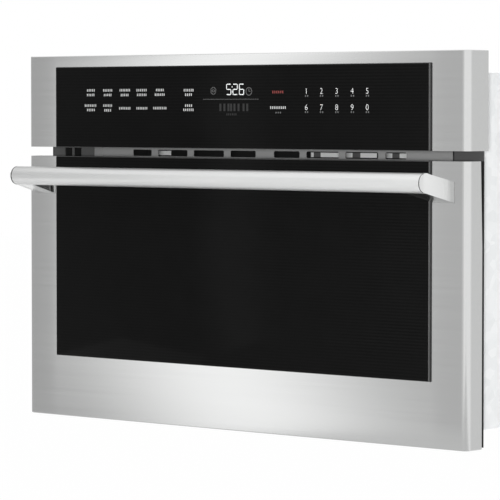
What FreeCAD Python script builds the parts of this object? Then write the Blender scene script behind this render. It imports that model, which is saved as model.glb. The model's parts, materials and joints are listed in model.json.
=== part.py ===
"""Built-in microwave oven with a drop-down door.

Frame: X to the right, Y to the back, Z up. The origin lies on the shelf that the oven stands on,
in the plane of the cabinet's face, midway across. The front faces -Y. Sizes are millimetres.
"""
import FreeCAD, Part
import math
import os

import Sketcher

SIZES = {
    # steel front
    "trim_side": 7,
    "trim_drop": 19.8,
    "front_depth": 42,
    "edge_radius": 9.5,
    "steel_sheet": 1.0,
    "door_height": 351.7,
    "door_wrap": 29.2,
    "door_sill_relief": 5,
    "door_band": 81.9,
    "vent_gap": 12.4,
    "bezel_height": 122.7,
    "bezel_strip": 15.2,
    "door_stile": 55.6,
    "glass_thickness": 4.5,
    "glass_clearance": 0.3,
    # handle
    "handle_diameter": 24.7,
    "handle_end_inset": 23,
    "handle_wall": 2,
    "handle_standoff": 47.6,
    "handle_below_top": 25.8,
    "post_width": 30,
    "post_cap_width": 7.5,
    "foot_height": 25.8,
    "foot_drop": 11.9,
    "collar_depth": 10,
    "handle_screw_diameter": 5,
    "screw_head_diameter": 9,
    "screw_head_height": 3,
    # chassis
    "body_width": 700,
    "case_below_bezel": 27,
    "rear_space": 113,
    "base_sheet": 1.0,
    "base_lip": 14,
    "cover_sheet": 0.8,
    "rear_sheet": 1.0,
    "flange_side": 22,
    "flange_sheet": 1.5,
    "flange_drop": 18.4,
    "flange_rise": 15,
    "cabinet_screw_inset": 5,
    "cabinet_screw_diameter": 4.5,
    "cabinet_screw_low": 45,
    "cabinet_screw_high": 285,
    "louvre_length": 46,
    "louvre_width": 4,
    "louvre_pitch": 11,
    "louvre_drop": 34,
    "cover_slot_setback": 300,
    "rear_slot_offset": 140,
    "rear_slot_step": 60,
    "case_screw_diameter": 8,
    "case_screw_height": 2.5,
    # vent behind the gap
    "vent_left_side": 56.4,
    "vent_right_side": 25.5,
    "vent_overlap": 5,
    "grille_setback": 16.5,
    "grille_sheet": 0.8,
    "grille_slot_height": 8.6,
    "grille_slot_corner": 2,
    "grille_slot_below_bezel": 7.6,
    "grille_slot_1_start": 15.576,
    "grille_slot_1_end": 60.0325,
    "grille_slot_2_start": 71.39,
    "grille_slot_2_end": 125.906,
    "grille_slot_3_start": 136.939,
    "grille_slot_3_end": 190.806,
    "grille_slot_4_start": 202.488,
    "grille_slot_4_end": 236.885,
    "duct_sheet": 0.8,
    "duct_depth": 105,
    "duct_inlet_side": 129.8,
    "duct_inlet_setback": 63,
    "vent_clearance": 0.3,
    # cavity
    "cavity_side": 85,
    "cavity_roof_drop": 24.9,
    "cavity_depth": 382,
    "cavity_floor_height": 72,
    "cavity_sheet": 1.0,
    "support_thickness": 2,
    "support_length": 40,
    "support_spacing": 380,
    # microwave feed
    "waveguide_length": 150,
    "waveguide_width": 90,
    "waveguide_height": 38,
    "waveguide_sheet": 1.0,
    "port_length": 80,
    "port_width": 40,
    "port_cover_margin": 12,
    "port_cover_thickness": 0.6,
    "magnetron_width": 92,
    "magnetron_depth": 72,
    "magnetron_height": 78,
    "magnetron_plate": 2,
    "magnetron_offset": 100,
    "feed_setback": 170,
    "transformer_setback": 280,
    "transformer_width": 70,
    "transformer_length": 100,
    "transformer_height": 84,
    "core_stack": 42,
    "core_limb": 18,
    "winding_gap": 0.5,
    "capacitor_setback": 210,
    "terminal_width": 6,
    "capacitor_diameter": 48,
    "capacitor_height": 96,
    # cooling blower
    "blower_wheel_diameter": 104,
    "blower_wheel_width": 52,
    "blower_clearance": 5,
    "blower_sheet": 1.5,
    "blower_setback": 340,
    "blower_inset": 55,
    "blower_mouth_length": 90,
    "blower_foot": 40,
    "blower_motor_diameter": 62,
    "blower_motor_length": 46,
    "fan_shaft_diameter": 8,
    "running_clearance": 0.05,
    # convection fan
    "convection_width": 230,
    "convection_depth": 42,
    "convection_sheet": 1.0,
    "convection_wheel_diameter": 142,
    "convection_blade_depth": 16,
    "heater_diameter": 176,
    "heater_rod_diameter": 6.6,
    "heater_standoff": 20,
    "heater_leg_spacing": 40,
    "heater_terminal": 22,
    "convection_motor_diameter": 66,
    "convection_motor_length": 48,
    "vent_hole_diameter": 5,
    "vent_hole_pitch": 13,
    # turntable
    "tray_diameter": 340,
    "tray_rim": 12,
    "tray_glass": 5,
    "tray_height": 13,
    "ring_diameter": 190,
    "ring_width": 10,
    "ring_thickness": 3,
    "roller_diameter": 12.4,
    "roller_width": 8,
    "axle_diameter": 4,
    "roller_clearance": 0.3,
    "coupler_diameter": 62,
    "drive_shaft_diameter": 8,
    "shaft_clearance": 2,
    "turntable_motor_diameter": 50,
    "turntable_motor_height": 20,
    # door inside
    "door_frame_sheet": 1.5,
    "door_clearance": 0.3,
    "choke_margin": 32,
    "choke_sheet": 1.2,
    "choke_back_gap": 2.5,
    "choke_cover_sheet": 1.5,
    "window_side": 40,
    "window_margin": 32.5,
    "screen_sheet": 0.6,
    "screen_setback": 14,
    "inner_pane": 4,
    # hinges
    "hinge_axis_setback": 20,
    "hinge_axis_drop": 2,
    "hinge_inset": 16,
    "hinge_arm_thickness": 6,
    "hinge_arm_rise": 70,
    "hinge_eye_radius": 7,
    "hinge_pin_diameter": 8,
    "hinge_plate": 2.5,
    "hinge_side_gap": 0.5,
    "hinge_foot_height": 40,
    "hinge_foot_sheet": 2.5,
    # latches
    "latch_left_inset": 17,
    "latch_right_inset": 12.5,
    "latch_slot_width": 14,
    "latch_slot_pitch": 17.4,
    "latch_slot_low": 32,
    "latch_slot_high": 11,
    "hook_thickness": 5,
    "hook_height": 9,
    "hook_reach": 11,
    "hook_below_top": 12,
    "latch_pin_diameter": 4,
    "latch_pin_setback": 24,
    "switch_height": 11,
    "switch_length": 28,
    "switch_gap": 1.5,
    # boards
    "carrier_wall": 2.5,
    "carrier_margin": 18,
    "board_thickness": 1.6,
    "board_length": 420,
    "board_height": 70,
    "board_setback": 14,
    "relay_pitch": 40,
    "relay_height": 16,
    "display_width": 90,
    "display_height": 44,
    "display_depth": 9,
    # lamp, filter and inlet
    "lamp_diameter": 26,
    "lamp_length": 34,
    "lamp_holder_length": 42,
    "lamp_holder_depth": 26,
    "lamp_setback": 120,
    "lamp_rise": 145.7,
    "filter_length": 90,
    "filter_width": 60,
    "filter_drop": 40,
    "inlet_diameter": 22,
    "inlet_bore": 9,
    "inlet_flange": 5,
    "cutout_diameter": 16,
    "cutout_height": 10,
}

doc = FreeCAD.newDocument("BuiltInMicrowave")
sheet = doc.addObject("Spreadsheet::Sheet", "dims")
for row, (alias, number) in enumerate(SIZES.items(), start=1):
    sheet.set(f"A{row}", alias)
    sheet.set(f"B{row}", str(number))
    sheet.setAlias(f"B{row}", alias)
doc.recompute()


class Size:
    """A length: its present number, and the expression that reads it from the sheet."""

    def __init__(self, text, number):
        self.text = text
        self.number = number

    def __add__(self, other):
        return joined(self, "+", other)

    def __radd__(self, other):
        return joined(other, "+", self)

    def __sub__(self, other):
        return joined(self, "-", other)

    def __rsub__(self, other):
        return joined(other, "-", self)

    def __mul__(self, other):
        return joined(self, "*", other)

    def __rmul__(self, other):
        return joined(other, "*", self)

    def __truediv__(self, other):
        return joined(self, "/", other)

    def __neg__(self):
        return Size(f"(0 - {self.text})", -self.number)


def as_size(value):
    return value if isinstance(value, Size) else Size(repr(value), value)


def joined(left, sign, right):
    left, right = as_size(left), as_size(right)
    if sign == "+":
        number = left.number + right.number
    elif sign == "-":
        number = left.number - right.number
    elif sign == "*":
        number = left.number * right.number
    else:
        number = left.number / right.number
    return Size(f"({left.text} {sign} {right.text})", number)


class Sheet:
    """Named sizes, read as d.alias."""

    def __getattr__(self, alias):
        return Size(f"dims.{alias}", float(getattr(sheet, alias)))


d = Sheet()
pieces = []
AXIS_TURN = {
    "X": FreeCAD.Rotation(FreeCAD.Vector(0, 1, 0), 90),
    "Y": FreeCAD.Rotation(FreeCAD.Vector(1, 0, 0), -90),
    "Z": FreeCAD.Rotation(),
}


def bind(obj, prop, value):
    """Tie a property to the sheet, or set it where the value is a plain number."""
    value = as_size(value)
    if "dims." in value.text:
        obj.setExpression(prop, value.text)
    elif "." not in prop:
        setattr(obj, prop, value.number)


def move_to(obj, at, turn=None):
    """Place an object at a point, turned by a fixed rotation."""
    at = [as_size(v) for v in at]
    base = FreeCAD.Vector(*[v.number for v in at])
    obj.Placement = FreeCAD.Placement(base, turn or FreeCAD.Rotation())
    for axis, value in zip("xyz", at):
        bind(obj, f"Placement.Base.{axis}", value)


def block(name, x, y, z):
    """A box between two planes along each axis."""
    obj = doc.addObject("Part::Box", name)
    for prop, (low, high) in zip(("Length", "Width", "Height"), (x, y, z)):
        bind(obj, prop, as_size(high) - low)
    move_to(obj, (x[0], y[0], z[0]))
    return obj


def rod(name, axis, radius, at, length):
    """A cylinder that starts at a point and runs along an axis."""
    obj = doc.addObject("Part::Cylinder", name)
    bind(obj, "Radius", radius)
    bind(obj, "Height", length)
    move_to(obj, at, AXIS_TURN[axis])
    return obj


def fuse(name, *items):
    obj = doc.addObject("Part::MultiFuse", name)
    obj.Shapes = list(items)
    obj.Refine = True
    return obj


def cut(name, base, *tools):
    obj = doc.addObject("Part::Cut", name)
    obj.Base = base
    obj.Tool = tools[0] if len(tools) == 1 else fuse(f"{name}_tools", *tools)
    return obj


def group(name, *items):
    obj = doc.addObject("Part::Compound", name)
    obj.Links = list(items)
    return obj


def outline(body, role, points):
    """A closed polygon in one of a body's planes, each corner tied to the sheet."""
    sketch = body.newObject("Sketcher::SketchObject", f"{body.Name}_outline")
    plane = [f for f in body.Origin.OriginFeatures if f.Role == role][0]
    sketch.AttachmentSupport = [(plane, "")]
    sketch.MapMode = "FlatFace"
    corners = [(as_size(u), as_size(v)) for u, v in points]
    spots = [FreeCAD.Vector(u.number, v.number, 0) for u, v in corners]
    count = len(spots)
    for i in range(count):
        sketch.addGeometry(Part.LineSegment(spots[i], spots[(i + 1) % count]), False)
    for i in range(count):
        sketch.addConstraint(Sketcher.Constraint("Coincident", i, 2, (i + 1) % count, 1))
    for i, corner in enumerate(corners):
        for kind, letter, value in zip(("DistanceX", "DistanceY"), "uv", corner):
            index = sketch.addConstraint(Sketcher.Constraint(kind, -1, 1, i, 1, value.number))
            sketch.renameConstraint(index, f"{letter}{i}")
            bind(sketch, f"Constraints.{letter}{i}", value)
    return sketch


def side_profile(name, x, points):
    """A body with a profile of (y, z) corners, padded across X."""
    body = doc.addObject("PartDesign::Body", name)
    sketch = outline(body, "YZ_Plane", points)
    pad = body.newObject("PartDesign::Pad", f"{name}_pad")
    pad.Profile = sketch
    bind(pad, "Length", as_size(x[1]) - x[0])
    move_to(body, (x[0], 0, 0))
    return body


def turned(name, profile, at=(0, 0, 0), axis="Z"):
    """A body turned about an axis from (radius, height) corners."""
    body = doc.addObject("PartDesign::Body", name)
    sketch = outline(body, "XZ_Plane", profile)
    turn = body.newObject("PartDesign::Revolution", f"{name}_turn")
    turn.Profile = sketch
    turn.ReferenceAxis = (sketch, ["V_Axis"])
    turn.Angle = 360
    move_to(body, at, AXIS_TURN[axis])
    return body


def piece(label, obj):
    """Hand an object in as a sub-part."""
    obj.Label = label
    pieces.append(obj)
    return obj


def across(width):
    """The two planes of a width that is centred on X = 0."""
    return (-(as_size(width) / 2), as_size(width) / 2)


def about(centre, width):
    """The two planes of a width about a centre."""
    return (as_size(centre) - as_size(width) / 2, as_size(centre) + as_size(width) / 2)


def rounded_front(name, half, y, z, radius):
    """A block whose two upright front edges are rounded."""
    inner = half - radius
    mid = block(f"{name}_mid", (-inner, inner), y, z)
    wide = block(f"{name}_wide", (-half, half), (y[0] + radius, y[1]), z)
    height = z[1] - z[0]
    left = rod(f"{name}_left", "Z", radius, (-inner, y[0] + radius, z[0]), height)
    right = rod(f"{name}_right", "Z", radius, (inner, y[0] + radius, z[0]), height)
    return fuse(name, mid, wide, left, right)


# Planes that many pieces share
HALF_BODY = d.body_width / 2
HALF_FLANGE = HALF_BODY + d.flange_side
HALF_TRIM = HALF_FLANGE + d.trim_side
HALF_GLASS = HALF_TRIM - d.door_stile
VENT_LEFT = d.vent_left_side - HALF_BODY
VENT_RIGHT = HALF_BODY - d.vent_right_side
STEEL_FRONT = -d.front_depth
STEEL_BACK = STEEL_FRONT + d.steel_sheet
GLASS_FRONT = STEEL_BACK - d.glass_thickness
DOOR_LOW = -d.trim_drop
DOOR_TOP = DOOR_LOW + d.door_height
DOOR_REAR = STEEL_FRONT + d.door_wrap
BEZEL_LOW = DOOR_TOP + d.vent_gap
BEZEL_TOP = BEZEL_LOW + d.bezel_height
FLANGE_FRONT = -d.flange_sheet
BODY_TOP = BEZEL_TOP - d.case_below_bezel
BODY_REAR = d.cavity_depth + d.rear_space
FLANGE_TOP = BODY_TOP + d.flange_rise
COVER_INSIDE = HALF_BODY - d.cover_sheet
REAR_INSIDE = BODY_REAR - d.rear_sheet
HALF_CAVITY = HALF_BODY - d.cavity_side
HALF_WINDOW = HALF_CAVITY - d.window_side
CAVITY_LOW = d.cavity_floor_height
CAVITY_TOP = DOOR_TOP - d.cavity_roof_drop
ROOF_TOP = CAVITY_TOP + d.cavity_sheet
FLOOR_UNDER = CAVITY_LOW - d.cavity_sheet
CAVITY_REAR = d.cavity_depth + d.cavity_sheet
TRAY_Y = d.cavity_depth / 2
VENT_LOW = DOOR_TOP - d.vent_overlap
VENT_HIGH = BEZEL_LOW + d.vent_overlap
HALF_HANDLE = HALF_TRIM - d.handle_end_inset
HANDLE_Y = STEEL_FRONT - d.handle_standoff
HANDLE_Z = DOOR_TOP - d.handle_below_top
FOOT_Z = HANDLE_Z - d.foot_drop
HINGE_Y = -d.hinge_axis_setback
HINGE_Z = -d.hinge_axis_drop
SIDES = ((-1, "left"), (1, "right"))
PAST = 5  # how far a cutting block stands past the faces that it cuts


def louvres(name, count, make):
    """A column of slots, each made by a function of its distance from the first."""
    return [make(f"{name}_{i}", i * d.louvre_pitch) for i in range(count)]


def make_base():
    plate = block("base_plate", (-HALF_BODY, HALF_BODY), (0, BODY_REAR), (0, d.base_sheet))
    lip_z = (d.base_sheet, d.base_sheet + d.base_lip)
    lip_y = (0, REAR_INSIDE)
    left = block("base_lip_left", (-COVER_INSIDE, d.base_sheet - COVER_INSIDE), lip_y, lip_z)
    right = block("base_lip_right", (COVER_INSIDE - d.base_sheet, COVER_INSIDE), lip_y, lip_z)
    piece("base_pan", fuse("base_pan_shape", plate, left, right))


def make_cover():
    z = (d.base_sheet, BODY_TOP)
    outer = block("cover_outer", (-HALF_BODY, HALF_BODY), (0, REAR_INSIDE), z)
    inside_z = (d.base_sheet - PAST, BODY_TOP - d.cover_sheet)
    inner = block("cover_inner", (-COVER_INSIDE, COVER_INSIDE), (-PAST, BODY_REAR), inside_z)

    def side_slot(name, step):
        y_low = d.cover_slot_setback + step
        z_low = BODY_TOP - d.louvre_drop - d.louvre_length
        y = (y_low, y_low + d.louvre_width)
        return block(name, (-HALF_BODY - PAST, HALF_BODY + PAST), y, (z_low, z_low + d.louvre_length))

    piece("outer_cover", cut("cover_shape", outer, inner, *louvres("cover_slot", 12, side_slot)))


def make_rear():
    x = (-HALF_BODY, HALF_BODY)
    plate = block("rear_plate", x, (REAR_INSIDE, BODY_REAR), (d.base_sheet, BODY_TOP))
    y = (REAR_INSIDE - PAST, BODY_REAR + PAST)

    def slot(column):
        def make(name, step):
            high = BODY_TOP - d.louvre_drop - step
            return block(name, about(column, d.louvre_length), y, (high - d.louvre_width, high))
        return make

    slots = []
    for i, side in enumerate((-1, 1)):
        for j in range(3):
            column = side * (d.rear_slot_offset + j * d.rear_slot_step)
            slots += louvres(f"rear_slot_{i}{j}", 8, slot(column))
    hole = rod("inlet_hole", "Y", d.inlet_diameter / 2, (inlet_x(), y[0], inlet_z()), y[1] - y[0])
    piece("rear_panel", cut("rear_shape", plate, hole, *slots))


def inlet_x():
    return HALF_BODY - 2 * d.inlet_diameter


def inlet_z():
    return d.base_sheet + d.base_lip + 1.5 * d.inlet_diameter


def make_inlet():
    bore_end = REAR_INSIDE - d.inlet_flange
    length = 2 * d.inlet_flange + d.rear_sheet
    neck_r = d.inlet_diameter / 2 - d.running_clearance
    at = (inlet_x(), bore_end, inlet_z())
    neck = rod("inlet_neck", "Y", neck_r, at, length)
    ring_at = (inlet_x(), BODY_REAR, inlet_z())
    ring = rod("inlet_ring", "Y", d.inlet_diameter * 0.7, ring_at, d.inlet_flange)
    bore_at = (inlet_x(), bore_end - PAST, inlet_z())
    bore = rod("inlet_bore_hole", "Y", d.inlet_bore / 2, bore_at, length + 2 * PAST)
    piece("cable_inlet", cut("inlet_shape", fuse("inlet_body", neck, ring), bore))


def slot_low():
    return DOOR_TOP - d.latch_slot_low


def hook_centres():
    """Two hooks side by side at the left, one at the right."""
    pair = d.latch_left_inset - HALF_BODY
    half = d.latch_slot_pitch / 2
    return (pair - half, pair + half, HALF_BODY - d.latch_right_inset)


def make_front_frame():
    z = (-d.flange_drop, FLANGE_TOP)
    plate = block("flange_plate", (-HALF_FLANGE, HALF_FLANGE), (FLANGE_FRONT, 0), z)
    y = (FLANGE_FRONT - PAST, PAST)
    mouth = block("cavity_mouth", (-HALF_CAVITY, HALF_CAVITY), y, (CAVITY_LOW, CAVITY_TOP))
    vent = block("vent_opening", (VENT_LEFT, VENT_RIGHT), y, (VENT_LOW, VENT_HIGH))
    harness = block("harness_hole", about(d.body_width / 4, d.board_height), y,
                    about(BEZEL_LOW + d.bezel_height / 2, d.board_height / 2))
    tools = [mouth, vent, harness]
    for i, centre in enumerate(hook_centres()):
        top = DOOR_TOP + d.latch_slot_high if i < 2 else DOOR_TOP
        tools.append(block(f"latch_slot_{i}", about(centre, d.latch_slot_width), y, (slot_low(), top)))
    screw_x = HALF_FLANGE - d.cabinet_screw_inset
    for side, word in SIDES:
        for level, height in (("low", d.cabinet_screw_low), ("high", d.cabinet_screw_high)):
            at = (side * screw_x, y[0], height)
            hole = rod(f"screw_hole_{word}_{level}", "Y", d.cabinet_screw_diameter / 2, at, y[1] - y[0])
            tools.append(hole)
    piece("front_frame", cut("flange_shape", plate, *tools))


def rounded_slot(name, x, y, z, corner):
    """A cutter along Y for a slot with rounded corners."""
    inner_x = (x[0] + corner, x[1] - corner)
    inner_z = (z[0] + corner, z[1] - corner)
    shapes = [block(f"{name}_wide", x, y, inner_z), block(f"{name}_tall", inner_x, y, z)]
    for i, across_at in enumerate(inner_x):
        for j, up_at in enumerate(inner_z):
            shapes.append(
                rod(f"{name}_corner_{i}{j}", "Y", corner, (across_at, y[0], up_at), y[1] - y[0]),
            )
    return fuse(name, *shapes)


def make_vent():
    inside = (VENT_LEFT, VENT_RIGHT)
    outside = (VENT_LEFT - d.duct_sheet, VENT_RIGHT + d.duct_sheet)
    outer = block(
        "duct_outer", outside, (0, d.duct_depth), (VENT_LOW - d.duct_sheet, VENT_HIGH + d.duct_sheet),
    )
    bore = block("duct_bore", inside, (-PAST, d.duct_depth - d.duct_sheet), (VENT_LOW, VENT_HIGH))
    inlet_y = (d.duct_inlet_setback, d.duct_depth - 2 * d.duct_sheet)
    half_inlet = VENT_RIGHT - d.duct_inlet_side
    inlet = block(
        "duct_inlet", (-half_inlet, half_inlet), inlet_y, (VENT_HIGH - PAST, VENT_HIGH + PAST),
    )
    piece("exhaust_duct", cut("duct_shape", outer, bore, inlet))

    y = (d.grille_setback, d.grille_setback + d.grille_sheet)
    plate_x = (VENT_LEFT + d.vent_clearance, VENT_RIGHT - d.vent_clearance)
    plate = block(
        "grille_plate", plate_x, y, (VENT_LOW + d.vent_clearance, VENT_HIGH - d.vent_clearance),
    )
    middle = BEZEL_LOW - d.grille_slot_below_bezel
    corner = d.grille_slot_corner
    spans = (
        (d.grille_slot_1_start, d.grille_slot_1_end),
        (d.grille_slot_2_start, d.grille_slot_2_end),
        (d.grille_slot_3_start, d.grille_slot_3_end),
        (d.grille_slot_4_start, d.grille_slot_4_end),
    )
    tools = []
    for side, word in SIDES:
        for i, (start, end) in enumerate(spans):
            x = (start, end) if side > 0 else (-end, -start)
            cut_y = (y[0] - PAST, y[1] + PAST)
            tools.append(
                rounded_slot(
                    f"grille_slot_{word}_{i}", x, cut_y, about(middle, d.grille_slot_height), corner,
                ),
            )
    piece("vent_grille", cut("grille_shape", plate, *tools))


def feed_x():
    return d.port_length / 2


def feed_y():
    return d.feed_setback


def lamp_z():
    return CAVITY_LOW + d.lamp_rise


def hole_grid(name, axis, centre, across_count, up_count):
    """A grid of round holes through a wall; axis X for a side wall, Y for the back wall."""
    tools = []
    for i in range(across_count):
        for j in range(up_count):
            u = (i - (across_count - 1) / 2) * d.vent_hole_pitch
            v = (j - (up_count - 1) / 2) * d.vent_hole_pitch
            x, y, z = centre
            if axis == "X":
                at = (x - PAST, y + u, z + v)
            else:
                at = (x + u, y - PAST, z + v)
            tools.append(rod(f"{name}_{i}_{j}", axis, d.vent_hole_diameter / 2, at, 2 * PAST))
    return tools


def make_cavity():
    out = HALF_CAVITY + d.cavity_sheet
    outer = block("wrap_outer", (-out, out), (0, d.cavity_depth), (CAVITY_LOW, ROOF_TOP))
    inner = block("wrap_inner", (-HALF_CAVITY, HALF_CAVITY), (-PAST, d.cavity_depth + PAST),
                  (CAVITY_LOW - PAST, CAVITY_TOP))
    port = block("roof_port", about(feed_x(), d.port_length), about(feed_y(), d.port_width),
                 (CAVITY_TOP - PAST, ROOF_TOP + PAST))
    lamp_at = (-(HALF_CAVITY + d.cavity_sheet / 2), d.lamp_setback, lamp_z())
    lamp_holes = hole_grid("lamp_hole", "X", lamp_at, 3, 3)
    piece("cavity_wrapper", cut("wrapper_shape", outer, inner, port, *lamp_holes))

    floor = block("floor_plate", (-out, out), (0, d.cavity_depth), (FLOOR_UNDER, CAVITY_LOW))
    shaft_r = d.drive_shaft_diameter / 2 + d.shaft_clearance
    hole = rod("floor_hole", "Z", shaft_r, (0, TRAY_Y, FLOOR_UNDER - PAST), d.cavity_sheet + 2 * PAST)
    piece("cavity_floor", cut("floor_shape", floor, hole))

    back = block("back_plate", (-out, out), (d.cavity_depth, CAVITY_REAR), (FLOOR_UNDER, ROOF_TOP))
    middle = (0, d.cavity_depth + d.cavity_sheet / 2, convection_z())
    inlet = hole_grid("fan_inlet", "Y", middle, 7, 7)
    offset = d.convection_width / 2 - 2 * d.vent_hole_pitch
    outlets = []
    for side, word in SIDES:
        at = (side * offset, middle[1], middle[2])
        outlets += hole_grid(f"fan_outlet_{word}", "Y", at, 2, 9)
    piece("cavity_back", cut("back_shape", back, *inlet, *outlets))

    feet = []
    for side, word in SIDES:
        foot_x = side * d.support_spacing / 2
        y = (d.cavity_depth - d.support_length, d.cavity_depth)
        web = block(
            f"support_web_{word}", about(foot_x, d.support_thickness), y, (d.base_sheet, FLOOR_UNDER),
        )
        pad_x = about(foot_x, d.support_length)
        low_z = (d.base_sheet, d.base_sheet + d.support_thickness)
        high_z = (FLOOR_UNDER - d.support_thickness, FLOOR_UNDER)
        low = block(f"support_low_{word}", pad_x, y, low_z)
        high = block(f"support_high_{word}", pad_x, y, high_z)
        feet.append(fuse(f"support_{word}", web, low, high))
    piece("cavity_supports", group("support_pair", *feet))


def make_feed():
    x = (
        feed_x() - d.port_length / 2 - d.port_cover_margin,
        feed_x() - d.port_length / 2 + d.waveguide_length,
    )
    y = about(feed_y(), d.waveguide_width)
    z = (ROOF_TOP, ROOF_TOP + d.waveguide_height)
    t = d.waveguide_sheet
    outer = block("guide_outer", x, y, z)
    bore = block("guide_bore", (x[0] + t, x[1] - t), (y[0] + t, y[1] - t), (z[0] - PAST, z[1] - t))
    antenna_at = (magnetron_x(), feed_y(), z[1] - t - PAST)
    antenna_r = d.magnetron_depth * 0.2
    hole = rod("antenna_hole", "Z", antenna_r + d.glass_clearance, antenna_at, t + 2 * PAST)
    piece("waveguide", cut("guide_shape", outer, bore, hole))

    margin = d.port_cover_margin
    cover_x = about(feed_x(), d.port_length + 2 * margin)
    cover_y = about(feed_y(), d.port_width + 2 * margin)
    cover_z = (CAVITY_TOP - d.port_cover_thickness, CAVITY_TOP)
    piece("waveguide_cover", block("mica_sheet", cover_x, cover_y, cover_z))

    mx = about(magnetron_x(), d.magnetron_width)
    my = about(feed_y(), d.magnetron_depth)
    low = z[1]
    high = low + d.magnetron_height
    plate = d.magnetron_plate
    bottom = block("yoke_bottom", mx, my, (low, low + plate))
    top = block("yoke_top", mx, my, (high - plate, high))
    left = block("yoke_left", (mx[0], mx[0] + plate), my, (low, high))
    right = block("yoke_right", (mx[1] - plate, mx[1]), my, (low, high))
    core = rod(
        "anode", "Z", d.magnetron_depth * 0.27, (magnetron_x(), feed_y(), low), d.magnetron_height,
    )
    antenna = rod("antenna", "Z", antenna_r, (magnetron_x(), feed_y(), low - d.waveguide_height / 2),
                  d.waveguide_height / 2)
    fins = []
    for i in range(6):
        fin_z = low + d.magnetron_height * (0.22 + 0.11 * i)
        fins.append(block(f"cooling_fin_{i}", mx, about(feed_y(), d.magnetron_depth * 0.9),
                          (fin_z, fin_z + plate / 2)))
    piece("magnetron", fuse("magnetron_shape", bottom, top, left, right, core, antenna, *fins))


def magnetron_x():
    return feed_x() + d.magnetron_offset - d.port_length / 2


def power_x():
    """Middle of the space between the cavity and the right side of the case."""
    return (HALF_CAVITY + d.cavity_sheet + COVER_INSIDE - d.base_sheet) / 2


def make_power():
    x = about(power_x(), d.core_stack)
    y = (d.transformer_setback, d.transformer_setback + d.transformer_length)
    z = (d.base_sheet, d.base_sheet + d.transformer_height)
    limb = d.core_limb
    middle = (y[0] + y[1]) / 2
    window_z = (z[0] + limb, z[1] - limb)
    spans = ((y[0] + limb, middle - limb / 2), (middle + limb / 2, y[1] - limb))
    windows = []
    for i, span in enumerate(spans):
        windows.append(block(f"core_window_{i}", (x[0] - PAST, x[1] + PAST), span, window_z))
    piece("transformer_core", cut("core_shape", block("core_block", x, y, z), *windows))

    gap = d.winding_gap
    half_height = (window_z[1] - window_z[0] - 3 * gap) / 2
    coils = []
    for i in range(2):
        low = window_z[0] + gap + i * (half_height + gap)
        level = (low, low + half_height)
        outer_y = (spans[0][0] + gap, spans[1][1] - gap)
        outer = block(f"coil_outer_{i}", about(power_x(), d.transformer_width), outer_y, level)
        hole = block(f"coil_hole_{i}", (x[0] - gap, x[1] + gap), (spans[0][1] - gap, spans[1][0] + gap),
                     (level[0] - PAST, level[1] + PAST))
        coils.append(cut(f"coil_{i}", outer, hole))
    piece("transformer_windings", group("coil_pair", *coils))


def make_capacitor():
    radius = d.capacitor_diameter / 2
    at = (power_x(), d.capacitor_setback, d.base_sheet)
    can = rod("capacitor_can", "Z", radius, at, d.capacitor_height)
    tabs = []
    for side, word in SIDES:
        x = about(power_x() + side * radius / 2, d.terminal_width)
        top = d.base_sheet + d.capacitor_height
        y = about(at[1], d.terminal_width / 6)
        tabs.append(block(f"capacitor_tab_{word}", x, y, (top, top + d.terminal_width)))
    piece("capacitor", fuse("capacitor_shape", can, *tabs))


def blower_z():
    return ROOF_TOP + d.blower_sheet + d.blower_clearance + d.blower_wheel_diameter / 2


def blower_wall():
    """Inside planes of the blower's housing across X."""
    half = d.blower_wheel_width / 2 + d.blower_clearance
    return about(d.blower_inset - HALF_CAVITY, 2 * half)


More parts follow.
